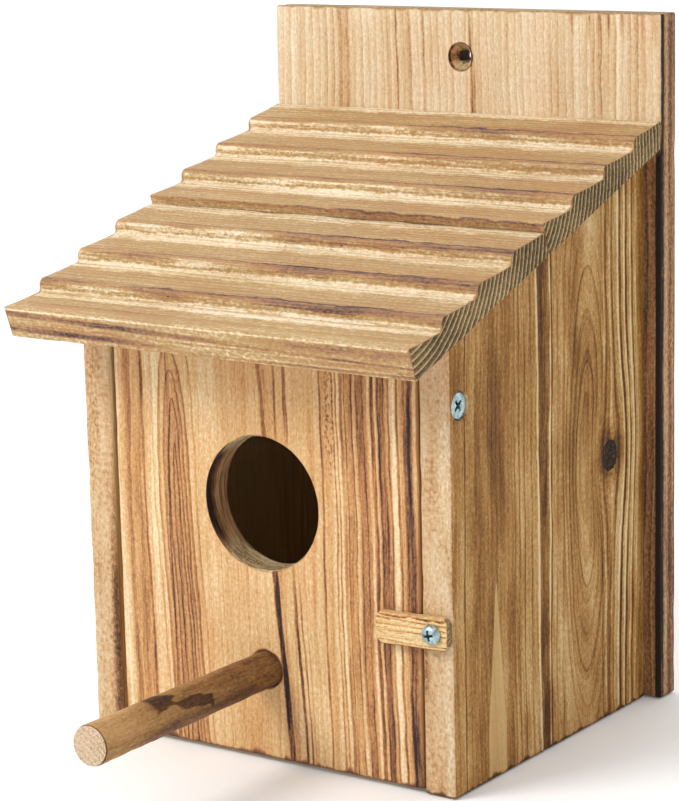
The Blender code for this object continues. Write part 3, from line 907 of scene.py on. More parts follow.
@dataclass
class Screw:
    """A cross-recess wood screw with a rolled thread."""

    node: str
    body: Body
    place: Vec
    facing: str
    head: Tuple[Tuple[float, float], ...]
    shank: float
    length: float
    recess: float
    recess_depth: float
    twist: float = 0.0
    thread: float = 0.25
    thread_pitch: float = 1.4
    sides: int = 32

    def body_mesh(self) -> bpy.types.Mesh:
        """Head, shank and point, with the thread raised as a helix."""
        bottom = self.head[-1][1]
        rows = int((self.length + bottom) / (self.thread_pitch / 5))
        profile: List[Tuple[float, float]] = list(self.head)
        for i in range(1, rows):
            height = bottom - (self.length + bottom) * i / rows
            point = min(1.0, (self.length + height) / 4.5)
            profile.append((max(0.05, self.shank * point), height))
        profile.append((0.0, -self.length))
        mesh = turned(self.node, profile, self.sides)
        thread_top = bottom - 3.0
        for vert in mesh.vertices:
            x, y, z = vert.co / MM
            radius = math.hypot(x, y)
            if z > thread_top or radius < 0.1:
                continue
            phase = (z / self.thread_pitch - math.atan2(y, x) / (2 * math.pi)) % 1.0
            crest = max(0.0, 1 - abs(phase - 0.5) * 4)
            fade = min(1.0, (thread_top - z) / 2.0)
            wide = (radius + self.thread * crest * fade) / radius
            vert.co.x *= wide
            vert.co.y *= wide
        return mesh

    def recess_mesh(self) -> bpy.types.Mesh:
        """A cross that narrows with depth."""
        shape = bmesh.new()
        rings = []
        top = self.head[0][1]
        for depth, share in ((-0.2, 1.0), (self.recess_depth * 0.55, 0.86), (self.recess_depth, 0.45)):
            a = self.recess / 2 * share
            b = self.recess * 0.13 * (0.6 + 0.4 * share)
            c = b * 0.8
            outline = [(a, -c), (a, c), (b, b), (c, a), (-c, a), (-b, b),
                       (-a, c), (-a, -c), (-b, -b), (-c, -a), (c, -a), (b, -b)]
            rings.append([shape.verts.new((x * MM, y * MM, (top - depth) * MM)) for x, y in outline])
        for upper, lower in zip(rings, rings[1:]):
            for k in range(12):
                n = (k + 1) % 12
                shape.faces.new((upper[k], lower[k], lower[n], upper[n]))
        shape.faces.new(rings[0])
        shape.faces.new(list(reversed(rings[-1])))
        bmesh.ops.recalc_face_normals(shape, faces=shape.faces)
        mesh = bpy.data.meshes.new("recess")
        shape.to_mesh(mesh)
        shape.free()
        return mesh

    def build(self, zinc: bpy.types.Material, painted_shade: bpy.types.Material) -> bpy.types.Object:
        """Build the screw in place of its frame node.

        Args:
            zinc: The plated finish.
            painted_shade: The finish inside the recess, zinc darkened as painted shade.

        Returns:
            The screw.
        """
        screw = add_object(self.node + "_detailed", self.body_mesh())
        cross = add_object("recess", self.recess_mesh())
        cross.data.transform(Matrix.Rotation(math.radians(self.twist), 4, "Z"))
        carve(screw, [cross])
        screw.data.materials.append(zinc)
        screw.data.materials.append(painted_shade)
        # Faces inside the cross recess take the darkened zinc: painted shade in the recess.
        rim = self.head[0][1] - 0.3
        for face in screw.data.polygons:
            middle = face.center / MM
            if math.hypot(middle.x, middle.y) < self.recess / 2 and middle.z < rim and middle.z > rim - 2:
                face.material_index = 1
        screw.data.transform(Matrix.Translation(Vector(self.place) * MM) @ TURNS[self.facing])
        smooth(screw, 32)
        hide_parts(self.node)
        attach(screw, self.body.value)
        log.info("%s rides on %s", screw.name, self.body.value)
        return screw


def mount_wood(item: bpy.types.Object, node: str, body: Body, finish: TorchedWood) -> None:
    """Dress a wooden piece, put it in place of its frame node and report it."""
    item.data.materials.clear()
    item.data.materials.append(finish.build())
    smooth(item)
    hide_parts(node)
    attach(item, body.value)
    log.info("%s rides on %s with %d faces", item.name, body.value, len(item.data.polygons))


# ---------------------------------------------------------------------------
# The nest box's own pieces
# ---------------------------------------------------------------------------

FLAT_HEAD = ((0.0, -0.12), (1.6, -0.1), (3.0, 0.0), (3.45, -0.05), (3.6, -0.22), (3.55, -0.5),
             (2.4, -1.6), (1.75, -2.2), (1.7, -3.4))
PAN_HEAD = ((0.0, 1.8), (1.0, 1.78), (1.8, 1.6), (2.4, 1.2), (2.72, 0.65), (2.8, 0.2), (2.76, 0.0),
            (1.5, -0.02), (1.3, -0.3), (1.3, -3.0))
FACE_TURN = {"+x": (0, 1), "-x": (0, 0), "+y": (1, 1), "-y": (1, 0)}


def head_place(node: str, facing: str) -> Vec:
    """Middle of a screw's head, from its frame node."""
    low, high = node_box(node)
    middle = (low + high) / 2
    axis, side = FACE_TURN[facing]
    middle[axis] = (low, high)[side][axis]
    return (float(middle[0]), float(middle[1]), float(middle[2]))


def countersink(place: Vec, facing: str, length: float, sink: float = 0.5) -> bpy.types.Object:
    """A cutter for a flat screw: its bore, its cone and the torn rim above it."""
    profile = [(0, sink + 1.5), (4.35, sink + 1.5), (4.15, sink), (3.95, sink - 0.3), (3.9, -0.35),
               (3.75, -0.7), (2.1, -2.6), (2.0, -length - 1.5), (0, -length - 1.5)]
    return bored("sink", profile, place, facing, 40, 0.16)


@dataclass
class BackBoard:
    """The tall board at the wall, with its hanging hole."""

    node: str = "back_board"
    hanging_height: float = 188.4
    hanging_radius: float = 2.1
    hanging_rim: float = 4.1
    hanging_sink: float = 2.4

    def figure(self) -> Figure:
        """Straight, fine grain with a few brown lines."""
        streaks = (
            Streak(-43.6, -42.0, 4.6, 0.2, low=120, fade=40, soft=0.9),
            Streak(-44.8, -43.2, 0.7, 0.26, low=110, fade=40),
            Streak(-41.2, -40.2, 0.6, 0.2, low=120, fade=40),
            Streak(-59.4, -58.6, 1.4, 0.16, soft=0.9),
            Streak(-27.0, -25.5, 1.1, 0.2, low=150, fade=25),
            Streak(-23.4, -22.0, 0.8, 0.28, low=155, fade=25),
            Streak(-19.2, -18.0, 2.2, 0.16, low=150, fade=25, soft=0.8),
            Streak(-14.0, -13.2, 0.9, 0.24, low=160, fade=25),
            Streak(3.1, 3.4, 0.9, 0.42, high=200, low=100, fade=12),
            Streak(4.6, 4.8, 2.6, 0.16, high=190, low=100, fade=12, soft=0.9),
            Streak(20.5, 21.5, 1.6, 0.1, soft=0.9),
            Streak(33.0, 34.0, 5.5, 0.08, soft=0.9),
            Streak(40.0, 40.6, 1.3, -0.12, soft=0.9),
            Streak(47.6, 48.0, 4.4, 0.12, soft=0.9),
            Streak(53.5, 54.0, 1.0, -0.12, soft=0.9),
            Streak(60.5, 60.5, 5.0, 0.1, soft=0.9),
            Streak(38.0, 38.0, 1.6, 0.3, low=197, fade=5, soft=0.9),
            Streak(43.9, 43.9, 1.2, 0.3, low=196, fade=5, soft=0.9),
            Streak(47.2, 47.2, 1.0, 0.3, low=195, fade=6, soft=0.9),
            Streak(50.4, 50.4, 1.2, 0.36, low=196, fade=5, soft=0.9),
            Streak(54.9, 54.9, 1.8, 0.3, low=197, fade=5, soft=0.9),
            Streak(61.5, 61.5, 1.0, 0.3, low=196, fade=6, soft=0.9),
            Streak(65.6, 65.6, 1.6, 0.3, low=194, fade=7, soft=0.9),
            Streak(-0.9, -0.9, 1.3, 0.5, soft=0.7, lie=Lie.EDGE),
            Streak(-3.2, -3.2, 1.6, -0.1, soft=0.8, lie=Lie.EDGE),
            Streak(-5.4, -5.4, 1.8, 0.18, soft=0.8, lie=Lie.EDGE),
            Streak(-8.2, -8.2, 0.8, 0.5, lie=Lie.EDGE),
        )
        rings = Rings(at=-150, through=-60, spacing=2.3, strength=0.3, sharpness=1.5, ridge=0.06)
        return Figure(span=(0, 202.4), rings=rings, streaks=streaks)

    def build(self, axes: BoardAxes, screws: Sequence["Screw"]) -> None:
        """Build the board and cut its holes.

        Args:
            axes: The board's axes.
            screws: Screws driven through it.
        """
        low, high = node_box(self.node)
        figure = self.figure()
        section = plank_section(low[0], high[0], high[1] - low[1], 0.5, 0.75)
        plank = Plank(self.node + "_planed", axes, section, low[2], lambda a: high[2], figure, pitch=5, seed=3.1)
        board = plank.build()
        rim, bore, sink = self.hanging_rim, self.hanging_radius, self.hanging_sink
        profile = [(0, 1.5), (rim + 0.9, 1.5), (rim + 0.25, 0.05), (rim - 0.1, -0.3), (bore + 0.2, -sink),
                   (bore, -sink - 0.3), (bore, -12), (0, -12)]
        cutters = [bored("hanging", profile, (0, low[1], self.hanging_height), "-y", 48, 0.35)]
        cutters += [countersink(s.place, s.facing, s.length) for s in screws]
        carve(board, cutters)
        finish = TorchedWood("pale planed pine", axes, figure, BACK_SHADES, (low[2], high[2]), (low[0], high[0]),
                             base=0.13, mottle=0.16, fibre=0.34, burn_low=0.95, burn_high=0.6, burn_sides=0.3,
                             burn_reach=0.7, end_base=0.5, seed=11.0, bump=0.26, edge_base=0.56, pebble=0.5, extra=self.burn)
        mount_wood(board, self.node, Body.HOUSE, finish)

    def burn(self, finish: TorchedWood, g: Graph, scorch: Socket, a: Socket, t: Socket, l: Socket) -> Socket:
        """Stain the wood round the hanging hole, and darken the flanks below the roof: partly burnt wood, partly
        painted shade in the corner by the side panels.
        """
        distance = g.op("SQRT", g.fma(a, a, g.op("POWER", g.op("ABSOLUTE", g.add(l, -self.hanging_height)), 2.0)))
        stain = g.ease(distance, self.hanging_rim + 0.7, self.hanging_rim + 0.1, 0.0, 0.3)
        ring = g.ease(g.op("ABSOLUTE", g.add(distance, -self.hanging_rim)), 0.5, 0.1, 0.0, 0.4)
        stain = g.add(g.mul(stain, g.ease(t, -3.5, -2.0, 1.2, 0.5)), ring)
        stain = g.mul(stain, g.ease(t, -8.3, -7.8))
        # Flank strips beside the side panels, below the roof: burnt wood with painted shade in the corner, and a
        # darker burnt line near the outer edge.
        flank = g.mul(g.ease(g.op("ABSOLUTE", a), 60.5, 62.5), g.ease(g.op("ABSOLUTE", a), 67.49, 67.3))
        flank = g.mul(g.mul(flank, g.ease(l, 168.0, 158.0)), g.ease(t, -0.8, -0.2))
        band = g.mul(g.ease(g.op("ABSOLUTE", a), 65.4, 66.2), 0.7)
        return g.fma(flank, g.add(band, 0.46), g.add(scorch, stain))


@dataclass
class SidePanel:
    """One side of the box, whose top follows the roof."""

    node: str
    sign: int
    roof_slope: float
    gap: float = 0.3
    tongue_place: float = 21.8
    tongue_width: float = 6.0
    tongue_height: float = 57.0

    def figure(self) -> Figure:
        """A flat-sawn figure with a knot, raised by the torch and the brush."""
        streaks = [
            Streak(2.4, 2.4, 6.0, 0.12, soft=0.9),
            Streak(7.3, 6.2, 0.6, 0.5, ridge=-0.1),
            Streak(9.6, 9.0, 0.5, 0.16),
            Streak(18.5, 18.0, 24.0, 0.1, soft=0.8),
            Streak(21.5, 21.5, 8.0, 0.22, low=56, high=120, fade=20, soft=0.9),
            Streak(13.0, 12.0, 3.0, 0.16, low=20, fade=20, soft=0.9),
            Streak(29.0, 30.0, 4.0, 0.18, high=60, fade=24, soft=0.9),
            Streak(12.2, 11.0, 0.5, 0.14),
            Streak(25.4, 25.6, 1.0, 0.14, low=40, fade=20),
            Streak(31.4, 32.2, 0.5, 0.24),
            Streak(32.4, 33.2, 0.6, -0.07),
            Streak(33.6, 34.6, 0.6, 0.2, ridge=0.08),
            Streak(34.8, 35.8, 0.5, -0.07),
            Streak(36.4, 37.6, 0.5, 0.26),
            Streak(39.6, 41.6, 1.0, 0.16),
            Streak(42.6, 45.5, 1.0, -0.36, ridge=0.34),
            Streak(46.2, 48.2, 5.0, 0.44, soft=0.8, ridge=-0.1),
            Streak(44.0, 46.9, 0.8, 0.36),
            Streak(50.6, 50.6, 0.7, -0.36, ridge=0.28),
            Streak(51.6, 51.5, 0.8, 0.42, ridge=-0.1),
            Streak(53.4, 53.4, 0.6, -0.06, ridge=0.1),
            Streak(54.8, 54.6, 0.4, 0.2),
            Streak(57.0, 56.6, 0.6, -0.05, ridge=0.1),
            Streak(58.4, 58.0, 0.4, 0.22),
            Streak(60.6, 59.6, 0.5, -0.04, ridge=0.08),
            Streak(78.6, 80.6, 0.7, 0.26, high=60, fade=20),
            Streak(80.2, 82.4, 0.8, -0.16, ridge=0.16),
            Streak(81.8, 83.6, 0.9, 0.24),
            Streak(83.2, 84.4, 2.8, 0.3, high=56, fade=12, soft=0.8),
            Streak(83.8, 85.4, 0.8, -0.18, ridge=0.18),
            Streak(85.2, 86.8, 0.8, 0.26),
            Streak(88.6, 89.4, 0.9, -0.24, ridge=0.24),
            Streak(90.0, 90.8, 1.3, 0.46, ridge=-0.1),
            Streak(92.4, 92.8, 0.8, -0.24, ridge=0.22),
            Streak(93.7, 94.1, 1.1, 0.42, ridge=-0.1),
            Streak(96.0, 96.3, 0.8, -0.22, ridge=0.2),
            Streak(97.2, 97.6, 0.8, 0.36),
            Streak(99.2, 99.4, 0.7, -0.14, ridge=0.1),
            Streak(102.4, 102.4, 3.4, 0.14, soft=0.8),
        ]
        loops = (
            Loop(71.2, 94.0, 1.6, 12.0, 0.12, 0.0, line=0.6),
            Loop(71.2, 75.0, 6.2, 33.0, 0.2, -0.05, line=0.7),
            Loop(71.3, 74.0, 8.2, 46.0, 0.12, 0.0, line=0.6),
            Loop(71.5, 76.0, 10.2, 59.0, 0.2, 0.0, line=0.7),
            Loop(71.7, 86.0, 12.4, 80.0, 0.12, 0.0, line=0.6),
            Loop(72.0, 92.0, 14.6, 96.0, 0.14, 0.0, line=0.7),
        )
        rings = Rings(at=71, through=-2, height=80, stretch=0.185, spacing=2.05, strength=0.13, sharpness=2.0,
                      ridge=0.1)
        knots = (Knot(84.3, 78.0, 4.4),)
        waves = (Wave(0.5, 34.0, 60.0, 0.4), Wave(0.2, 9.0, 21.0, 2.1))
        return Figure((0, 165), rings, tuple(streaks), loops, knots, waves)

    def build(self, seat: Callable[[float], float], screws: Sequence["Screw"]) -> None:
        """Build the panel and cut its holes.

        Args:
            seat: Height of the roof's underside at a distance behind the front edge.
            screws: Screws that pass through or into the panel.
        """
        low, high = node_box(self.node)
        outer = high[0] if self.sign > 0 else low[0]
        axes = BoardAxes((float(outer), float(low[1]), 0.0), (0, 1, 0), (float(self.sign), 0, 0), (0, 0, 1))
        depth = float(high[1] - low[1])
        figure = self.figure()
        section = plank_section(0, depth, high[0] - low[0], 0.9, 0.55)
        plank = Plank(self.node + "_sawn", axes, section, 0.0, lambda a: seat(a) - self.gap, figure, pitch=3.2,
                      wear=0.3, seed=5.0 * self.sign)
        board = plank.build()
        carve(board, [countersink(s.place, s.facing, s.length) for s in screws])
        finish = TorchedWood("torched pine side", axes, figure, SIDE_SHADES, (0, 171), (0, depth), base=0.3,
                             mottle=0.44, fibre=0.19, grit=0.62, pebble=0.55, bare_depth=9.8, edge_base=0.24,
                             edge_shades=BACK_SHADES,
                             burn_low=0.95, burn_high=0.4, burn_sides=0.1, burn_reach=1.3, end_base=0.5,
                             seed=23.0 + self.sign, bump=0.34, extra=self.bare_tongue_and_painted_shade)
        mount_wood(board, self.node, Body.HOUSE, finish)

    def bare_tongue_and_painted_shade(self, finish: TorchedWood, g: Graph, scorch: Socket, a: Socket, t: Socket,
                    l: Socket) -> Socket:
        """Leave a pale pointed tongue low on the outside, where the torch didn't reach, and paint shade on the
        inner corner of the front edge by the door gap.
        """
        width = g.fma(l, -self.tongue_width / self.tongue_height, self.tongue_width)
        offset = g.op("ABSOLUTE", g.add(a, -self.tongue_place))
        width = g.op("MINIMUM", width, g.ease(l, self.tongue_height - 1, self.tongue_height - 12, 0.0, 4.6))
        inside = g.mul(g.ease(g.op("SUBTRACT", offset, width), 0.3, -0.3), g.ease(t, -1.0, -0.5))
        scorch = g.fma(inside, g.fma(scorch, -0.72, 0.06), scorch)
        # Darker at the inner corner of the front edge, by the door gap, strongest low down and on the left side:
        # painted shade.
        painted_shade = g.mul(g.ease(t, -6.0, -9.0), g.ease(a, 1.4, 0.6))
        painted_shade = g.mul(painted_shade, g.ease(l, 95.0, 30.0, 0.0, 0.42 if self.sign < 0 else 0.12))
        return g.add(scorch, painted_shade)


@dataclass
class FloorPanel:
    """The floor between the sides, with rougher wood."""

    node: str = "floor_panel"

    def build(self, screws: Sequence["Screw"]) -> None:
        """Build the floor and bore it for its screws."""
        low, high = node_box(self.node)
        axes = BoardAxes((0, float(low[1]), float(high[2])), (0, 1, 0), (0, 0, 1), (-1, 0, 0))
        figure = Figure((-52, 52), Rings(at=40, through=-45, spacing=3.0, strength=0.3, ridge=0.1),
                        (Streak(22, 25, 1.2, 0.3), Streak(60, 62, 2.0, 0.25, soft=0.8)))
        section = plank_section(0, float(high[1] - low[1]), float(high[2] - low[2]), 0.5, 0.9)
        plank = Plank(self.node + "_sawn", axes, section, float(low[0]), lambda a: float(high[0]), figure, seed=8.0)
        board = plank.build()
        carve(board, [countersink(s.place, s.facing, s.length) for s in screws])
        finish = TorchedWood("torched pine floor", axes, figure, SIDE_SHADES, (float(low[0]), float(high[0])),
                             (0, float(high[1] - low[1])), base=0.28, seed=31.0, edge_base=0.34)
        mount_wood(board, self.node, Body.HOUSE, finish)


@dataclass
class RoofBoard:
    """One moulded roof board: four shallow steps across its grain."""

    node: str
    start: float
    end: float
    slope: float
    plumb_end: bool = False
    first_step: float = 15.7
    step_pitch: float = 18.3
    steps: int = 4
    nose: float = 9.4
    valley: float = 6.4
    nose_radius: float = 2.0
    cove_radius: float = 1.2
    eave_radius: float = 0.45

    def top(self) -> List[Tuple[float, float]]:
        """The stepped top, as (distance up the slope, thickness) points."""
        line = [(self.start, 0.35), (self.start, 3.0), (self.start, 6.0)]
        line += self.bow(self.start + self.eave_radius, self.nose - self.eave_radius, self.eave_radius, 180, 90)
        fall = (self.nose - self.valley) / self.step_pitch
        riser = self.start
        for step in range(self.steps - 1):
            riser_next = self.start + self.first_step + step * self.step_pitch
            line += self.tread(line[-1], (riser_next - self.cove_radius, self.valley))
            riser = riser_next
            line += self.bow(riser - self.cove_radius, self.valley + self.cove_radius, self.cove_radius, -90, 0)
            line += self.bow(riser + self.nose_radius, self.nose - self.nose_radius, self.nose_radius, 180, 90)
        thickness = self.nose - fall * (self.end - riser - self.nose_radius)
        edge = self.end + (thickness * math.tan(self.slope) if self.plumb_end else 0.0)
        line += self.tread(line[-1], (edge - 0.3, thickness + 0.03))
        line += [(edge, thickness - 0.3)]
        return line

    @staticmethod
    def bow(a: float, t: float, radius: float, start: float, end: float) -> List[Tuple[float, float]]:
        """Points on an arc, with its angles in degrees."""
        angles = [math.radians(start + (end - start) * i / 6) for i in range(7)]
        return [(a + radius * math.cos(v), t + radius * math.sin(v)) for v in angles]

    @staticmethod
    def tread(first: Tuple[float, float], last: Tuple[float, float]) -> List[Tuple[float, float]]:
        """Points on one gently hollow tread, after its first and up to its last."""
        count = max(2, round((last[0] - first[0]) / 0.6))
        points = []
        for i in range(1, count + 1):
            share = i / count
            hollow = 0.12 * math.sin(math.pi * share)
            points.append((first[0] + (last[0] - first[0]) * share,
                           first[1] + (last[1] - first[1]) * share - hollow))
        return points

    def section(self) -> Section:
        """The stepped top with as many points on the flat underside."""
        front = self.top()
        lengths = [0.0]
        for p, q in zip(front, front[1:]):
            lengths.append(lengths[-1] + math.dist(p, q))
        rear = [(self.start + 0.3 + (self.end - self.start - 0.6) * v / lengths[-1], 0.0) for v in lengths]
        return Section(front, rear)

    def figure(self) -> Figure:
        """Long grain across the roof and steep rings at the ends."""
        first = self.start == 0
        rings = Rings(at=self.start + (2.0 if first else -14.0), through=38.0 if first else 26.0, spacing=1.9,
                      strength=0.24, sharpness=2.6, ridge=0.1)
        streaks: Tuple[Streak, ...] = ()
        if first:
            streaks = (
                Streak(3.6, 7.6, 1.6, 0.5, high=0, fade=34, lie=Lie.EDGE),
                Streak(3.4, 7.2, 0.8, 0.36, lie=Lie.EDGE),
                Streak(0.8, 3.0, 1.8, 0.5, high=-22, fade=22, lie=Lie.EDGE),
                Streak(8.7, 8.7, 0.5, -0.2, lie=Lie.EDGE),
                Streak(4.3, 4.3, 0.7, 0.25, high=-30, fade=20, lie=Lie.EDGE),
                Streak(6.6, 7.4, 3.0, 0.28, low=20, fade=20, soft=0.9, lie=Lie.EDGE),
                Streak(2.6, 2.6, 1.2, 0.24, low=20, fade=20, soft=0.9, lie=Lie.EDGE),
                Streak(1.0, 0.8, 0.8, 0.3, low=0, fade=20, lie=Lie.EDGE),
                Streak(3.8, 3.8, 0.6, 0.2, low=-10, fade=20, lie=Lie.EDGE),
            )
        waves = (Wave(0.5, 30.0, 50.0, 0.4 + self.start), Wave(0.2, 8.0, 17.0, 2.1))
        return Figure((-67.5, 67.5), rings, streaks, (), (), waves)

    def build(self, axes: BoardAxes) -> None:
        """Build the board on the roof's axes."""
        low, high = node_box(self.node)
        figure = self.figure()
        plank = Plank(self.node + "_moulded", axes, self.section(), float(low[0]), lambda a: float(high[0]), figure,
                      radius=0.35, pitch=3.0, wear=0.25, seed=self.start + 2)
        board = plank.build()
        shades = ((0.0, "d8bd8c"), (0.3, "a88c58"), (0.55, "7a6038"), (0.8, "503c20"), (1.0, "261a0e"))
        finish = TorchedWood("torched moulded roof pine", axes, figure, ROOF_SHADES,
                             (float(low[0]), float(high[0])), (self.start, self.end + 4), base=0.31, mottle=0.16,
                             fibre=0.3, grit=0.6, pebble=0.6, edge_base=0.27, end_base=0.74, end_rings=0.9,
                             end_shades=shades, burn_low=0.5, burn_high=0.6, burn_sides=0.0, burn_reach=0.7,
                             seed=41.0 + self.start, bump=0.34, extra=self.scorch_steps)
        mount_wood(board, self.node, Body.HOUSE, finish)

    def scorch_steps(self, finish: TorchedWood, g: Graph, scorch: Socket, a: Socket, t: Socket,
                     l: Socket) -> Socket:
        """Char the nosings, leave the valleys pale and pit them."""
        on_face = g.ease(t, 2.0, 4.0)
        if self.start == 0:
            on_face = g.mul(on_face, g.ease(a, 0.2, 1.4))
        along = g.add(a, 20 * self.step_pitch + 1.0 - self.start - self.first_step)
        step = g.fma(g.op("FRACT", g.mul(along, 1 / self.step_pitch)), self.step_pitch, -1.0)
        path = g.add(step, g.add(t, -self.nose))
        patch = g.noise(g.combine(g.mul(l, 0.03), g.mul(a, 0.09), 4.0), 2, 0.5)
        ragged = g.noise(g.combine(g.mul(l, 0.12), g.mul(a, 0.4), 1.0), 3, 0.65)
        streaky = g.noise(g.combine(g.mul(l, 0.028), g.mul(a, 0.9), g.mul(t, 0.9)), 3, 0.65)
        strength = g.fma(g.ease(l, -45.0, 30.0), 0.62, g.ease(patch, 0.35, 0.7, 0.05, 0.55))
        reach = g.fma(ragged, 3.6, 0.6)
        foot = g.fma(ragged, 3.0, -3.6)
        deep = 0.38 if self.start == 0 else 0.22
        band = g.mul(g.ease(path, g.add(reach, 0.6), g.add(reach, -0.4)), g.ease(path, foot, g.add(foot, 1.4)))
        band = g.mul(band, g.ease(streaky, 0.3, 0.65, 0.55 * deep, 1.15 * deep))
        line = g.ease(g.op("ABSOLUTE", g.op("SUBTRACT", path, reach)), 0.7, 0.1)
        char = g.fma(band, strength, g.mul(line, g.fma(strength, 0.2, 0.1)))
        valley = g.fma(ragged, 6.0, 6.8)
        hollow = g.op("MAXIMUM", g.ease(path, valley, g.add(valley, 2.8)), g.ease(path, foot, g.add(foot, -0.8)))
        pale = g.mul(hollow, -0.25)
        riser = g.mul(g.ease(path, 1.6, 0.0), g.ease(path, foot, g.add(foot, 1.0)))
        warm = g.mul(riser, g.fma(strength, 0.16, g.ease(streaky, 0.35, 0.65, -0.34, -0.1)))
        pits = g.cells(g.combine(g.mul(a, 0.8), g.mul(t, 0.8), g.mul(l, 0.3)))
        sunk = g.op("MAXIMUM", g.ease(path, 8.0, 12.0), g.ease(path, 0.0, -1.0))
        pit = g.mul(g.mul(g.ease(pits, 0.16, 0.08), sunk), g.ease(patch, 0.4, 0.6, 0.1, 0.5))
        drawn = g.add(g.add(char, pale), g.add(warm, pit))
        return g.fma(drawn, on_face, scorch)


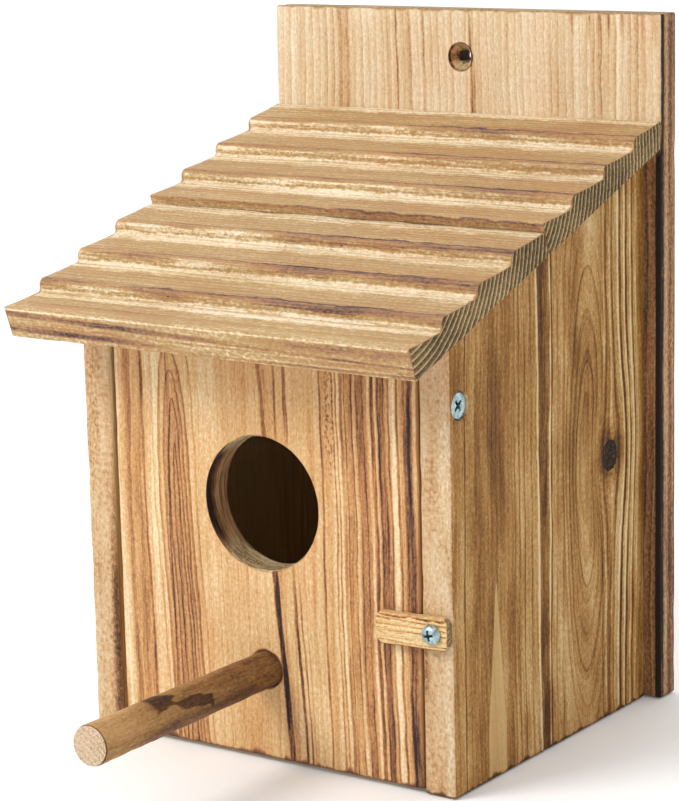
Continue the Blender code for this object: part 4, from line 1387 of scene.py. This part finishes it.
@dataclass
class FrontDoor:
    """The hinged front with its round entrance and the perch's socket."""

    node: str = "front_door"
    entrance_radius: float = 19.05
    entrance_height: float = 74.2
    socket_depth: float = 7.0
    socket_radius: float = 5.5
    torn_place: float = 23.4

    def figure(self) -> Figure:
        """Leaning grain: pale in the middle, striped and dark on the right."""
        streaks = [
            Streak(-47.3, -44.9, 2.6, 0.3, soft=0.7),
            Streak(-50.4, -48.6, 1.4, -0.14, soft=0.7),
            Streak(-41.9, -38.6, 0.9, 0.44, soft=0.6, ridge=-0.08),
            Streak(-43.6, -41.2, 4.4, 0.26, high=90, fade=30, soft=0.6),
            Streak(-44.0, -41.4, 0.5, 0.32, high=90, fade=30),
            Streak(-45.2, -42.8, 0.45, 0.26, high=80, fade=30),
            Streak(-42.8, -40.0, 0.4, 0.3, high=70, fade=30),
            Streak(-37.6, -34.6, 5.0, -0.16, soft=0.7),
            Streak(-32.6, -30.9, 0.55, 0.26),
            Streak(-16.4, -12.0, 0.5, 0.12, high=70, fade=20),
            Streak(-14.2, -10.4, 2.4, 0.14, low=86, fade=14, soft=0.9),
            Streak(-11.0, -7.0, 1.0, 0.12, high=50, fade=16, soft=0.8),
            Streak(-9.0, -3.6, 12.0, 0.07, soft=0.9),
            Streak(-1.4, 9.2, 1.5, 0.36, soft=0.7, ridge=-0.1),
            Streak(-1.4, 9.2, 1.8, 0.84, high=60, fade=3, soft=0.4, ridge=-0.16),
            Streak(0.5, 10.8, 1.5, 0.16, soft=0.8),
            Streak(4.4, 8.0, 0.7, 0.36, low=90, fade=6),
            Streak(7.9, 11.2, 1.2, 0.46, low=94, fade=8),
            Streak(6.6, 14.2, 0.9, 0.56, high=56, fade=10),
            Streak(8.4, 16.0, 0.6, 0.44, high=52, fade=12),
            Streak(12.0, 17.0, 0.5, 0.14, high=60, fade=30),
            Streak(15.6, 19.6, 1.2, 0.1, soft=0.9),
            Streak(19.6, 22.6, 0.7, 0.42, soft=0.6, ridge=-0.06),
            Streak(21.4, 24.6, 2.2, 0.16, soft=0.8),
            Streak(23.7, 27.2, 0.5, 0.36),
            Streak(24.8, 28.4, 0.5, 0.3),
            Streak(26.4, 30.2, 1.0, 0.34, soft=0.7),
            Streak(27.6, 31.2, 0.45, 0.44),
            Streak(28.6, 32.4, 4.0, 0.22, soft=0.7),
            Streak(29.8, 33.6, 0.5, 0.44),
            Streak(32.4, 36.6, 3.8, 0.34, soft=0.6),
            Streak(31.4, 35.6, 0.5, 0.52),
            Streak(33.4, 37.6, 0.6, 0.54),
            Streak(36.4, 40.4, 1.2, 0.5, soft=0.6),
            Streak(39.2, 42.8, 3.0, 0.44, soft=0.6),
            Streak(38.4, 42.0, 0.7, 0.62),
            Streak(40.1, 43.6, 0.6, 0.6),
            Streak(41.6, 45.0, 0.7, 0.34),
            Streak(44.4, 47.4, 0.7, 0.4),
            Streak(25.4, 29.2, 0.8, -0.1),
            Streak(30.6, 34.4, 0.9, -0.12),
            Streak(35.2, 39.2, 0.8, -0.12),
            Streak(37.4, 41.4, 0.8, -0.14),
            Streak(43.0, 46.2, 1.5, -0.16),
            Streak(45.9, 49.2, 0.8, -0.14),
            Streak(47.4, 50.8, 3.4, 0.54, soft=0.6),
            Streak(48.4, 50.2, 1.0, 0.72),
        ]
        loops = (
            Loop(-25.4, 0.0, 1.2, 88.0, 0.3, 0.0, line=0.5, lean=0.05, blunt=4.0),
            Loop(-25.6, 0.0, 2.6, 101.0, 0.3, 0.05, line=0.5, lean=0.05, blunt=5.0),
            Loop(-25.8, 0.0, 4.0, 109.0, 0.26, 0.05, line=0.6, lean=0.05, blunt=6.0),
            Loop(-26.0, 0.0, 5.6, 116.0, 0.36, 0.1, line=0.7, lean=0.05, blunt=7.0),
            Loop(-25.8, 0.0, 7.6, 150.0, 0.2, 0.0, line=0.6, lean=0.05, blunt=6.0),
        )
        rings = Rings(at=-96, through=-30, spacing=3.1, strength=0.14, sharpness=3.0, ridge=0.06)
        waves = (Wave(0.55, 30.0, 55.0, 0.4), Wave(0.22, 9.5, 21.0, 2.1))
        return Figure((0, 126), rings, tuple(streaks), loops, (), waves)

    def build(self, screws: Sequence["Screw"]) -> None:
        """Build the door, its entrance, the perch's socket and the pivots' bores."""
        low, high = node_box(self.node)
        axes = BoardAxes((0, float(low[1]), 0), (1, 0, 0), (0, -1, 0), (0, 0, 1))
        figure = self.figure()
        section = plank_section(float(low[0]), float(high[0]), float(high[1] - low[1]), 0.5, 0.55)
        plank = Plank(self.node + "_sawn", axes, section, float(low[2]), lambda a: float(high[2]), figure,
                      pitch=3.0, wear=0.2, seed=1.7)
        board = plank.build()
        radius = self.entrance_radius
        profile = [(0, 1.5), (radius + 1.0, 1.5), (radius + 0.2, 0.1), (radius, -0.2), (radius - 0.15, -0.6)]
        for i in range(1, 15):
            profile.append((radius - 0.15 + 0.06 * math.sin(i * 2.4), -0.7 - 0.6 * i))
        profile += [(radius + 0.2, -9.6), (radius + 0.7, -10.2), (radius + 0.7, -12), (0, -12)]
        entrance = bored("entrance", profile, (0, float(low[1]), self.entrance_height), "-y", 128, 0.22)
        perch_low, perch_high = node_box("perch_dowel")
        middle = (perch_low + perch_high) / 2
        socket = [(0, 1.5), (self.socket_radius + 0.3, 1.5), (self.socket_radius, 0.05),
                  (self.socket_radius - 0.14, -0.3), (self.socket_radius - 0.14, -self.socket_depth),
                  (0, -self.socket_depth)]
        perch = bored("socket", socket, (float(middle[0]), float(low[1]), float(middle[2])), "-y", 48, 0.15)
        carve(board, [entrance, perch] + [countersink(s.place, s.facing, s.length) for s in screws])
        # The low end_base keeps the door's end grain pale, and with it paints light on the bottom of the entrance's
        # bore.
        finish = TorchedWood("torched pine door", axes, figure, DOOR_SHADES, (float(low[2]), float(high[2])),
                             (float(low[0]), float(high[0])), base=0.21, mottle=0.22, fibre=0.28, pebble=0.4,
                             bare_depth=9.8, edge_base=0.36, edge_shades=BACK_SHADES, end_base=0.2, end_rings=0.0, end_lay=1.6,
                             burn_low=0.85, burn_high=0.3, burn_sides=0.6, burn_reach=1.5, seed=2.0, bump=0.32,
                             extra=self.char_and_painted_light_at_openings)
        mount_wood(board, self.node, Body.DOOR, finish)

    def char_and_painted_light_at_openings(self, finish: TorchedWood, g: Graph, scorch: Socket, a: Socket, t: Socket,
                      l: Socket) -> Socket:
        """Char the entrance's rim, paint shade in a ring round the perch's socket, and brown the entrance's bore,
        with painted light making its lower part paler.
        """
        height = g.add(l, -self.entrance_height)
        distance = g.op("SQRT", g.fma(a, a, g.mul(height, height)))
        uneven = g.noise(g.combine(g.mul(a, 0.25), g.mul(l, 0.25), g.mul(t, 0.3)), 2, 0.5)
        rim = g.ease(g.fma(uneven, 1.2, distance), self.entrance_radius + 1.3, self.entrance_radius + 0.5, 0.0, 0.6)
        in_bore = g.ease(distance, self.entrance_radius + 0.3, self.entrance_radius + 0.1)
        depth = g.fma(uneven, 2.4, g.mul(t, -1.0))
        tone = g.ease(depth, 1.6, 6.0, 1.0, 0.56)
        lay = g.noise(g.combine(g.mul(a, 0.08), g.mul(t, 1.1), g.mul(l, 0.08)), 3, 0.7)
        # Paler towards the bore's bottom: painted light, as if the bottom were lit from above.
        bore = g.fma(g.add(lay, -0.5), 1.5, g.add(tone, g.ease(height, -8.0, -18.0, 0.0, -0.34)))
        scorch = g.op("MAXIMUM", scorch, rim)
        mixed = g.add(g.mul(scorch, g.op("SUBTRACT", 1.0, in_bore)), g.mul(bore, in_bore))
        # A dark ring round the perch's base: painted shade where the perch meets the door.
        low, high = node_box("perch_dowel")
        drop = g.add(l, -float(low[2] + high[2]) / 2)
        around = g.op("SQRT", g.fma(a, a, g.mul(drop, drop)))
        mixed = g.op("MAXIMUM", mixed, g.ease(g.fma(uneven, 1.2, around), 6.9, 6.1, 0.0, 0.7))
        dots = g.cells(g.combine(g.mul(a, 1.3), g.mul(t, 1.3), g.mul(l, 0.9)))
        torn = g.mul(g.ease(g.op("ABSOLUTE", g.add(a, -self.torn_place)), 1.9, 1.0), g.ease(l, 78.0, 92.0))
        return g.fma(g.mul(torn, g.ease(dots, 0.6, 0.2, -0.1, 1.0)), 0.26, mixed)


@dataclass
class Perch:
    """A round stick glued into the door."""

    node: str = "perch_dowel"
    edge: float = 0.6
    sides: int = 56
    tip_swell: float = 1.025
    root_swell: float = 0.93
    proud: float = 0.7

    def build(self) -> None:
        """Build the stick with its eased tip and fine fibres."""
        low, high = node_box(self.node)
        radius = float(high[2] - low[2]) / 2
        tip, root = float(low[1]) - self.proud, float(high[1])
        middle = ((low + high) / 2).astype(float)
        axes = BoardAxes((float(middle[0]), tip, float(middle[2])), (1, 0, 0), (0, 0, 1), (0, 1, 0))
        length = root - tip
        profile = [(0.0, 0.0), (1.5, 0.02), (3.2, 0.0), (radius - self.edge, -0.05),
                   (radius - 0.35 * self.edge, -0.25), (radius - 0.08, -self.edge), (radius, -self.edge - 0.5)]
        count = 40
        for i in range(1, count):
            wavy = 0.05 * math.sin(i * 0.7) + 0.03 * math.sin(i * 1.9)
            profile.append((radius - 0.05 + wavy, -self.edge - 0.5 - (length - self.edge - 0.5) * i / count))
        profile += [(radius - 0.1, -length), (0.0, -length)]
        taper = (self.root_swell - self.tip_swell) / length
        profile = [(r * (self.tip_swell - taper * z), z) for r, z in profile]
        mesh = turned(self.node + "_turned", profile, self.sides, 0.12)
        mesh.transform(Matrix.Translation(Vector((middle[0], tip, middle[2])) * MM) @ TURNS["-y"])
        perch = add_object(self.node + "_turned", mesh)
        figure = Figure((0, length), Rings(at=-9, through=-14, spacing=1.5, strength=0.1, sharpness=1.6))
        shades = ((0.0, "ecdac2"), (0.35, "cdb292"), (0.6, "a58662"), (0.85, "7a5636"), (1.0, "3a281a"))
        finish = TorchedWood("smoked birch stick", axes, figure, PERCH_SHADES, (0, length), (-20, 20), base=0.28,
                             mottle=0.36, fibre=0.34, end_base=0.42, end_rings=0.14, end_shades=shades,
                             burn_low=0.62, burn_high=0.2, burn_sides=0.0, burn_reach=0.25, seed=51.0, bump=0.24,
                             extra=self.painted_shade_and_browning)
        mount_wood(perch, self.node, Body.DOOR, finish)

    @staticmethod
    def painted_shade_and_browning(finish: TorchedWood, g: Graph, scorch: Socket, a: Socket, t: Socket, l: Socket) -> Socket:
        """A painted shadow on top of the stick's middle, painted shade on its underside, browner wood towards the
        door, a dark rim at the tip and paler wood near it.
        """
        cloud = g.noise(g.combine(g.mul(a, 0.22), g.mul(t, 0.22), g.mul(l, 0.1)), 2, 0.5)
        # A dark patch on top of the stick's middle: a painted shadow.
        run = g.mul(g.ease(g.op("ABSOLUTE", g.add(l, -34.5)), 12.5, 10.5), g.ease(a, -3.0, -1.0))
        lie = g.fma(l, 0.19, g.add(t, -9.6))
        patch = g.ease(g.fma(g.add(cloud, -0.5), 7.0, g.op("ABSOLUTE", lie)), 1.9, 1.2, 0.0, 0.42)
        painted_shade = g.mul(run, patch)
        root = g.ease(l, 46.0, 72.0, 0.0, 0.13)
        root = g.mul(root, g.ease(cloud, 0.3, 0.65, 0.2, 1.9))
        # Darker underneath: painted shade.
        painted_underside_shade = g.ease(t, 2.5, -3.0, 0.0, 0.3)
        nick = g.mul(g.ease(l, 0.8, 0.5, 0.0, 0.45), g.ease(l, 0.12, 0.3))
        fresh = g.ease(l, 4.0, 26.0, -0.14, 0.04)
        scorch = g.add(g.add(scorch, painted_underside_shade), fresh)
        return g.add(scorch, g.op("MAXIMUM", painted_shade, g.op("MAXIMUM", root, nick)))


@dataclass
class TurnButton:
    """The little wooden bar that keeps the door shut."""

    node: str = "turn_button"
    length: float = 23.2
    height: float = 8.9
    clip: float = 1.6
    ease: float = 0.35
    tilt: float = math.radians(-1.5)
    to_end: float = 4.9

    def outline(self) -> List[Tuple[float, float]]:
        """The bar's outline about its screw, with clipped and slightly uneven corners."""
        right, left = self.to_end, self.to_end - self.length
        half, clip = self.height / 2, self.clip
        corners = [(right, -half + clip), (right, half - clip), (right - clip * 0.9, half), (left + clip, half),
                   (left, half - clip * 0.8), (left, -half + clip * 0.9), (left + clip * 0.9, -half),
                   (right - clip, -half)]
        points: List[Tuple[float, float]] = []
        for (x0, z0), (x1, z1) in zip(corners, corners[1:] + corners[:1]):
            count = max(2, round(math.dist((x0, z0), (x1, z1)) / 0.8))
            for i in range(count):
                x = x0 + (x1 - x0) * i / count
                z = z0 + (z1 - z0) * i / count
                rough = 0.1 * noise.noise(Vector((x * 0.6, z * 0.6, 2.0)))
                points.append((x * (1 + rough / 12), z * (1 + rough / 4.5)))
        return points

    def build(self, screw: "Screw") -> None:
        """Build the bar round its screw.

        Args:
            screw: The screw it turns on.
        """
        low, high = node_box(self.node)
        face, rear = float(low[1]), float(high[1])
        x0, z0 = screw.place[0], screw.place[2]
        outline = self.outline()
        shape = bmesh.new()
        levels = [(0.45, face), (0.2, face + 0.08), (0.05, face + 0.25), (0.0, face + 0.5), (0.0, rear - 0.4),
                  (0.12, rear - 0.12), (0.4, rear)]
        layers = []
        for inset, y in levels:
            layer = []
            for x, z in outline:
                px = x - math.copysign(min(inset, abs(x)), x + 6.7)
                pz = z - math.copysign(min(inset, abs(z)), z)
                tx = px * math.cos(self.tilt) + pz * math.sin(self.tilt)
                tz = -px * math.sin(self.tilt) + pz * math.cos(self.tilt)
                layer.append(shape.verts.new(((x0 + tx) * MM, y * MM, (z0 + tz) * MM)))
            layers.append(layer)
        count = len(outline)
        for upper, lower in zip(layers, layers[1:]):
            for k in range(count):
                n = (k + 1) % count
                shape.faces.new((upper[k], upper[n], lower[n], lower[k]))
        shape.faces.new(layers[0])
        shape.faces.new(layers[-1])
        bmesh.ops.recalc_face_normals(shape, faces=shape.faces)
        mesh = bpy.data.meshes.new(self.node)
        shape.to_mesh(mesh)
        shape.free()
        bar = add_object(self.node + "_whittled", mesh)
        bore = [(0, 2), (1.75, 2), (1.62, 0.0), (1.55, -0.3), (1.55, -6), (0, -6)]
        carve(bar, [bored("bore", bore, (x0, face, z0), "-y", 32, 0.05)])
        cos, sin = math.cos(self.tilt), math.sin(self.tilt)
        axes = BoardAxes((x0, face, z0), (sin, 0, cos), (0, -1, 0), (cos, 0, -sin))
        streaks = (Streak(1.6, 1.2, 0.4, 0.26), Streak(-1.6, -2.2, 0.5, 0.2), Streak(3.0, 2.8, 0.4, 0.2),
                   Streak(0.2, -0.4, 0.3, 0.24), Streak(-3.0, -3.2, 0.4, 0.2))
        figure = Figure((self.to_end - self.length, self.to_end),
                        Rings(at=-14, through=-9, spacing=1.3, strength=0.3, sharpness=2.0), streaks)
        finish = TorchedWood("pale whittled pine", axes, figure, BUTTON_SHADES,
                             (self.to_end - self.length, self.to_end), (-self.height / 2, self.height / 2),
                             base=0.14, mottle=0.24, fibre=0.5, grit=0.9, edge_base=0.2, end_base=0.5,
                             burn_low=0.6, burn_high=0.8, burn_sides=0.0, burn_reach=0.6, seed=61.0, bump=0.34,
                             extra=self.singe)
        mount_wood(bar, self.node, Body.BUTTON, finish)


    def singe(self, finish: TorchedWood, g: Graph, scorch: Socket, a: Socket, t: Socket, l: Socket) -> Socket:
        """Burnt lines just inside the bar's long edges, and short brown dashes."""
        wander = g.noise(g.combine(g.mul(l, 0.35), g.mul(a, 0.2), 3.0), 2, 0.5)
        inset = g.op("SUBTRACT", self.height / 2 - 0.75, g.add(a, g.mul(g.add(wander, -0.5), 1.2)))
        upper = g.mul(g.ease(g.op("ABSOLUTE", inset), 0.45, 0.1), g.ease(wander, 0.3, 0.6, 0.2, 0.55))
        lower = g.ease(g.add(a, self.height / 2), 0.5, 0.1, 0.0, 0.5)
        dashes = g.noise(g.combine(g.mul(a, 1.6), g.mul(t, 1.6), g.mul(l, 0.32)), 1, 0.5)
        return g.add(g.add(scorch, g.op("MAXIMUM", upper, lower)), g.ease(dashes, 0.6, 0.72, 0.0, 0.3))


# ---------------------------------------------------------------------------
# Studio
# ---------------------------------------------------------------------------


@dataclass(frozen=True)
class Lamp:
    """A soft area light aimed at the nest box."""

    name: str
    place: Vec
    size: float
    power: float
    shade: str = "ffffff"
    aim: Vec = (0.0, 0.0, 0.09)

    def build(self) -> None:
        """Hang the lamp."""
        data = bpy.data.lights.new(self.name, "AREA")
        data.shape = "DISK"
        data.size = self.size
        data.energy = self.power
        data.color = linear(self.shade)[:3]
        lamp = bpy.data.objects.new(self.name, data)
        bpy.context.scene.collection.objects.link(lamp)
        direction = Vector(self.aim) - Vector(self.place)
        lamp.matrix_world = Matrix.Translation(self.place) @ direction.to_track_quat("-Z", "Y").to_matrix().to_4x4()


@dataclass(frozen=True)
class Studio:
    """Camera, floor and lamps."""

    camera_place: Vec = (0.44677, -0.65359, 0.25859)
    azimuth: float = 35.12
    elevation: float = 11.81
    roll: float = -1.341
    lens: float = 125.04
    world: float = 0.6
    backdrop_distance: float = 3.2
    lamps: Tuple[Lamp, ...] = (
        Lamp("key", (-0.55, -0.95, 0.95), 0.7, 12.0, "ffffff"),
        Lamp("top", (0.1, 0.1, 1.4), 1.0, 3.0, "ffffff"),
    )

    def camera(self) -> None:
        """Set the camera."""
        data = bpy.data.cameras.new("camera")
        data.lens = self.lens
        data.sensor_width = 36.0
        data.clip_start = 0.05
        item = bpy.data.objects.new("camera", data)
        bpy.context.scene.collection.objects.link(item)
        az, el = math.radians(self.azimuth), math.radians(self.elevation)
        back = Vector((math.sin(az) * math.cos(el), -math.cos(az) * math.cos(el), math.sin(el)))
        right = Vector((math.cos(az), math.sin(az), 0.0))
        up = back.cross(right)
        turn = Matrix((right, up, back)).transposed().to_4x4()
        spin = Matrix.Rotation(math.radians(self.roll), 4, "Z")
        item.matrix_world = Matrix.Translation(self.camera_place) @ turn @ spin
        bpy.context.scene.camera = item

    def floor(self) -> None:
        """Lay a pale floor that carries on to the horizon."""
        shape = bmesh.new()
        bmesh.ops.create_grid(shape, x_segments=8, y_segments=8, size=9.0)
        mesh = bpy.data.meshes.new("floor")
        shape.to_mesh(mesh)
        shape.free()
        floor = add_object("studio_floor", mesh)
        floor.location = (0, 0, -0.0004)
        material = bpy.data.materials.new("studio paper")
        g = Graph(material)
        g.shader.inputs["Base Color"].default_value = linear("fbfbfb")
        g.shader.inputs["Roughness"].default_value = 0.85
        g.shader.inputs["Specular IOR Level"].default_value = 0.1
        g.shader.inputs["Emission Color"].default_value = (1.0, 1.0, 1.0, 1.0)
        g.shader.inputs["Emission Strength"].default_value = 0.06
        mesh.materials.append(material)

    def backdrop(self) -> None:
        """Stand a lit sheet of white paper well behind the nest box."""
        az = math.radians(self.azimuth)
        shape = bmesh.new()
        bmesh.ops.create_grid(shape, x_segments=6, y_segments=6, size=4.0)
        mesh = bpy.data.meshes.new("backdrop")
        shape.to_mesh(mesh)
        shape.free()
        sheet = add_object("studio_backdrop", mesh)
        sheet.rotation_euler = (math.radians(90), 0, az)
        sheet.location = (-math.sin(az) * self.backdrop_distance, math.cos(az) * self.backdrop_distance, 2.0)
        material = bpy.data.materials.new("lit paper")
        g = Graph(material)
        g.shader.inputs["Base Color"].default_value = (0.8, 0.8, 0.8, 1.0)
        g.shader.inputs["Emission Color"].default_value = (1.0, 1.0, 1.0, 1.0)
        g.shader.inputs["Emission Strength"].default_value = 0.85
        mesh.materials.append(material)

    def build(self) -> None:
        """Set the camera, the floor, the backdrop, the lamps and an even white surround."""
        self.camera()
        self.floor()
        self.backdrop()
        for lamp in self.lamps:
            lamp.build()
        world = bpy.data.worlds.new("studio")
        world.use_nodes = True
        background = world.node_tree.nodes["Background"]
        background.inputs["Color"].default_value = (1, 1, 1, 1)
        background.inputs["Strength"].default_value = self.world
        bpy.context.scene.world = world
        bpy.context.scene.view_settings.view_transform = "Standard"


# ---------------------------------------------------------------------------
# The whole nest box
# ---------------------------------------------------------------------------


@dataclass
class NestBox:
    """Builds every sub-assembly in order."""

    slope: float = math.radians(19.3)
    seat_height: float = 164.2
    roof_run: float = 136.4

    def screws(self) -> Dict[str, Screw]:
        """Every screw, by its frame node."""
        found: Dict[str, Screw] = {}
        for node, facing, twist in (("pivot_screw_left", "-x", 20), ("pivot_screw_right", "+x", 38)):
            found[node] = self.flat(node, Body.DOOR, facing, twist)
        for k, node in enumerate(("side_screw_left_low", "side_screw_left_high", "side_screw_right_low",
                                  "side_screw_right_high", "floor_screw_left", "floor_screw_right")):
            found[node] = self.flat(node, Body.HOUSE, "+y", 17 * k + 5)
        node = "turn_button_screw"
        low, high = node_box(node)
        place = head_place(node, "-y")
        seat = (place[0], place[1] + 1.8, place[2])
        found[node] = Screw(node, Body.HOUSE, seat, "-y", PAN_HEAD, 1.3, float(high[1] - low[1]) - 1.8, 3.1, 1.3,
                            twist=12, thread=0.2, thread_pitch=1.1)
        return found

    @staticmethod
    def flat(node: str, body: Body, facing: str, twist: float) -> Screw:
        """One flat-headed screw of the common size."""
        low, high = node_box(node)
        length = float(max(high - low))
        return Screw(node, body, head_place(node, facing), facing, FLAT_HEAD, 1.7, length, 4.0, 1.4, twist=twist,
                     thread=0.2)

    def build(self) -> None:
        """Build the nest box's pieces from the back forwards."""
        screws = self.screws()
        wall_low, _ = node_box("back_board")
        wall = float(wall_low[1])
        front = float(node_box("right_side")[0][1])
        through_back = [s for n, s in screws.items() if n.startswith(("side_screw", "floor_screw"))]
        BackBoard().build(BoardAxes((0, wall, 0), (1, 0, 0), (0, -1, 0), (0, 0, 1)), through_back)

        def seat(depth: float) -> float:
            """Height of the roof's underside at a distance behind the front edge."""
            return self.seat_height - (wall - front - depth) * math.tan(self.slope)

        for name, sign in (("left", -1), ("right", 1)):
            chosen = [screws[f"pivot_screw_{name}"], screws[f"side_screw_{name}_low"],
                      screws[f"side_screw_{name}_high"]]
            if sign > 0:
                chosen.append(screws["turn_button_screw"])
            SidePanel(f"{name}_side", sign, self.slope).build(seat, chosen)
        FloorPanel().build([screws["floor_screw_left"], screws["floor_screw_right"]])

        uphill = Vector((0, math.cos(self.slope), math.sin(self.slope)))
        outward = Vector((0, -math.sin(self.slope), math.cos(self.slope)))
        eave = Vector((0, wall, self.seat_height)) - uphill * self.roof_run
        roof = BoardAxes(tuple(eave), tuple(uphill), tuple(outward), (1, 0, 0))
        RoofBoard("roof_board_front", 0.0, 69.8, self.slope).build(roof)
        RoofBoard("roof_board_rear", 70.1, 136.1, self.slope, plumb_end=True).build(roof)

        FrontDoor().build([screws["pivot_screw_left"], screws["pivot_screw_right"]])
        Perch().build()
        TurnButton().build(screws["turn_button_screw"])
        # The second zinc is darkened to 0.12 as painted shade inside the screws' recesses.
        zinc, painted_shade = ZincPlate().build(), ZincPlate("recess zinc with painted shade", 0.12).build()
        for screw in screws.values():
            screw.build(zinc, painted_shade)


def main() -> None:
    """Build the nest box and its studio, and note both sizes."""
    logging.basicConfig(level=logging.INFO, format="%(name)s: %(message)s")
    Studio().build()
    NestBox().build()
    log.info("frame has %d nodes", len(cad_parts))


if __name__ == "__main__":
    main()
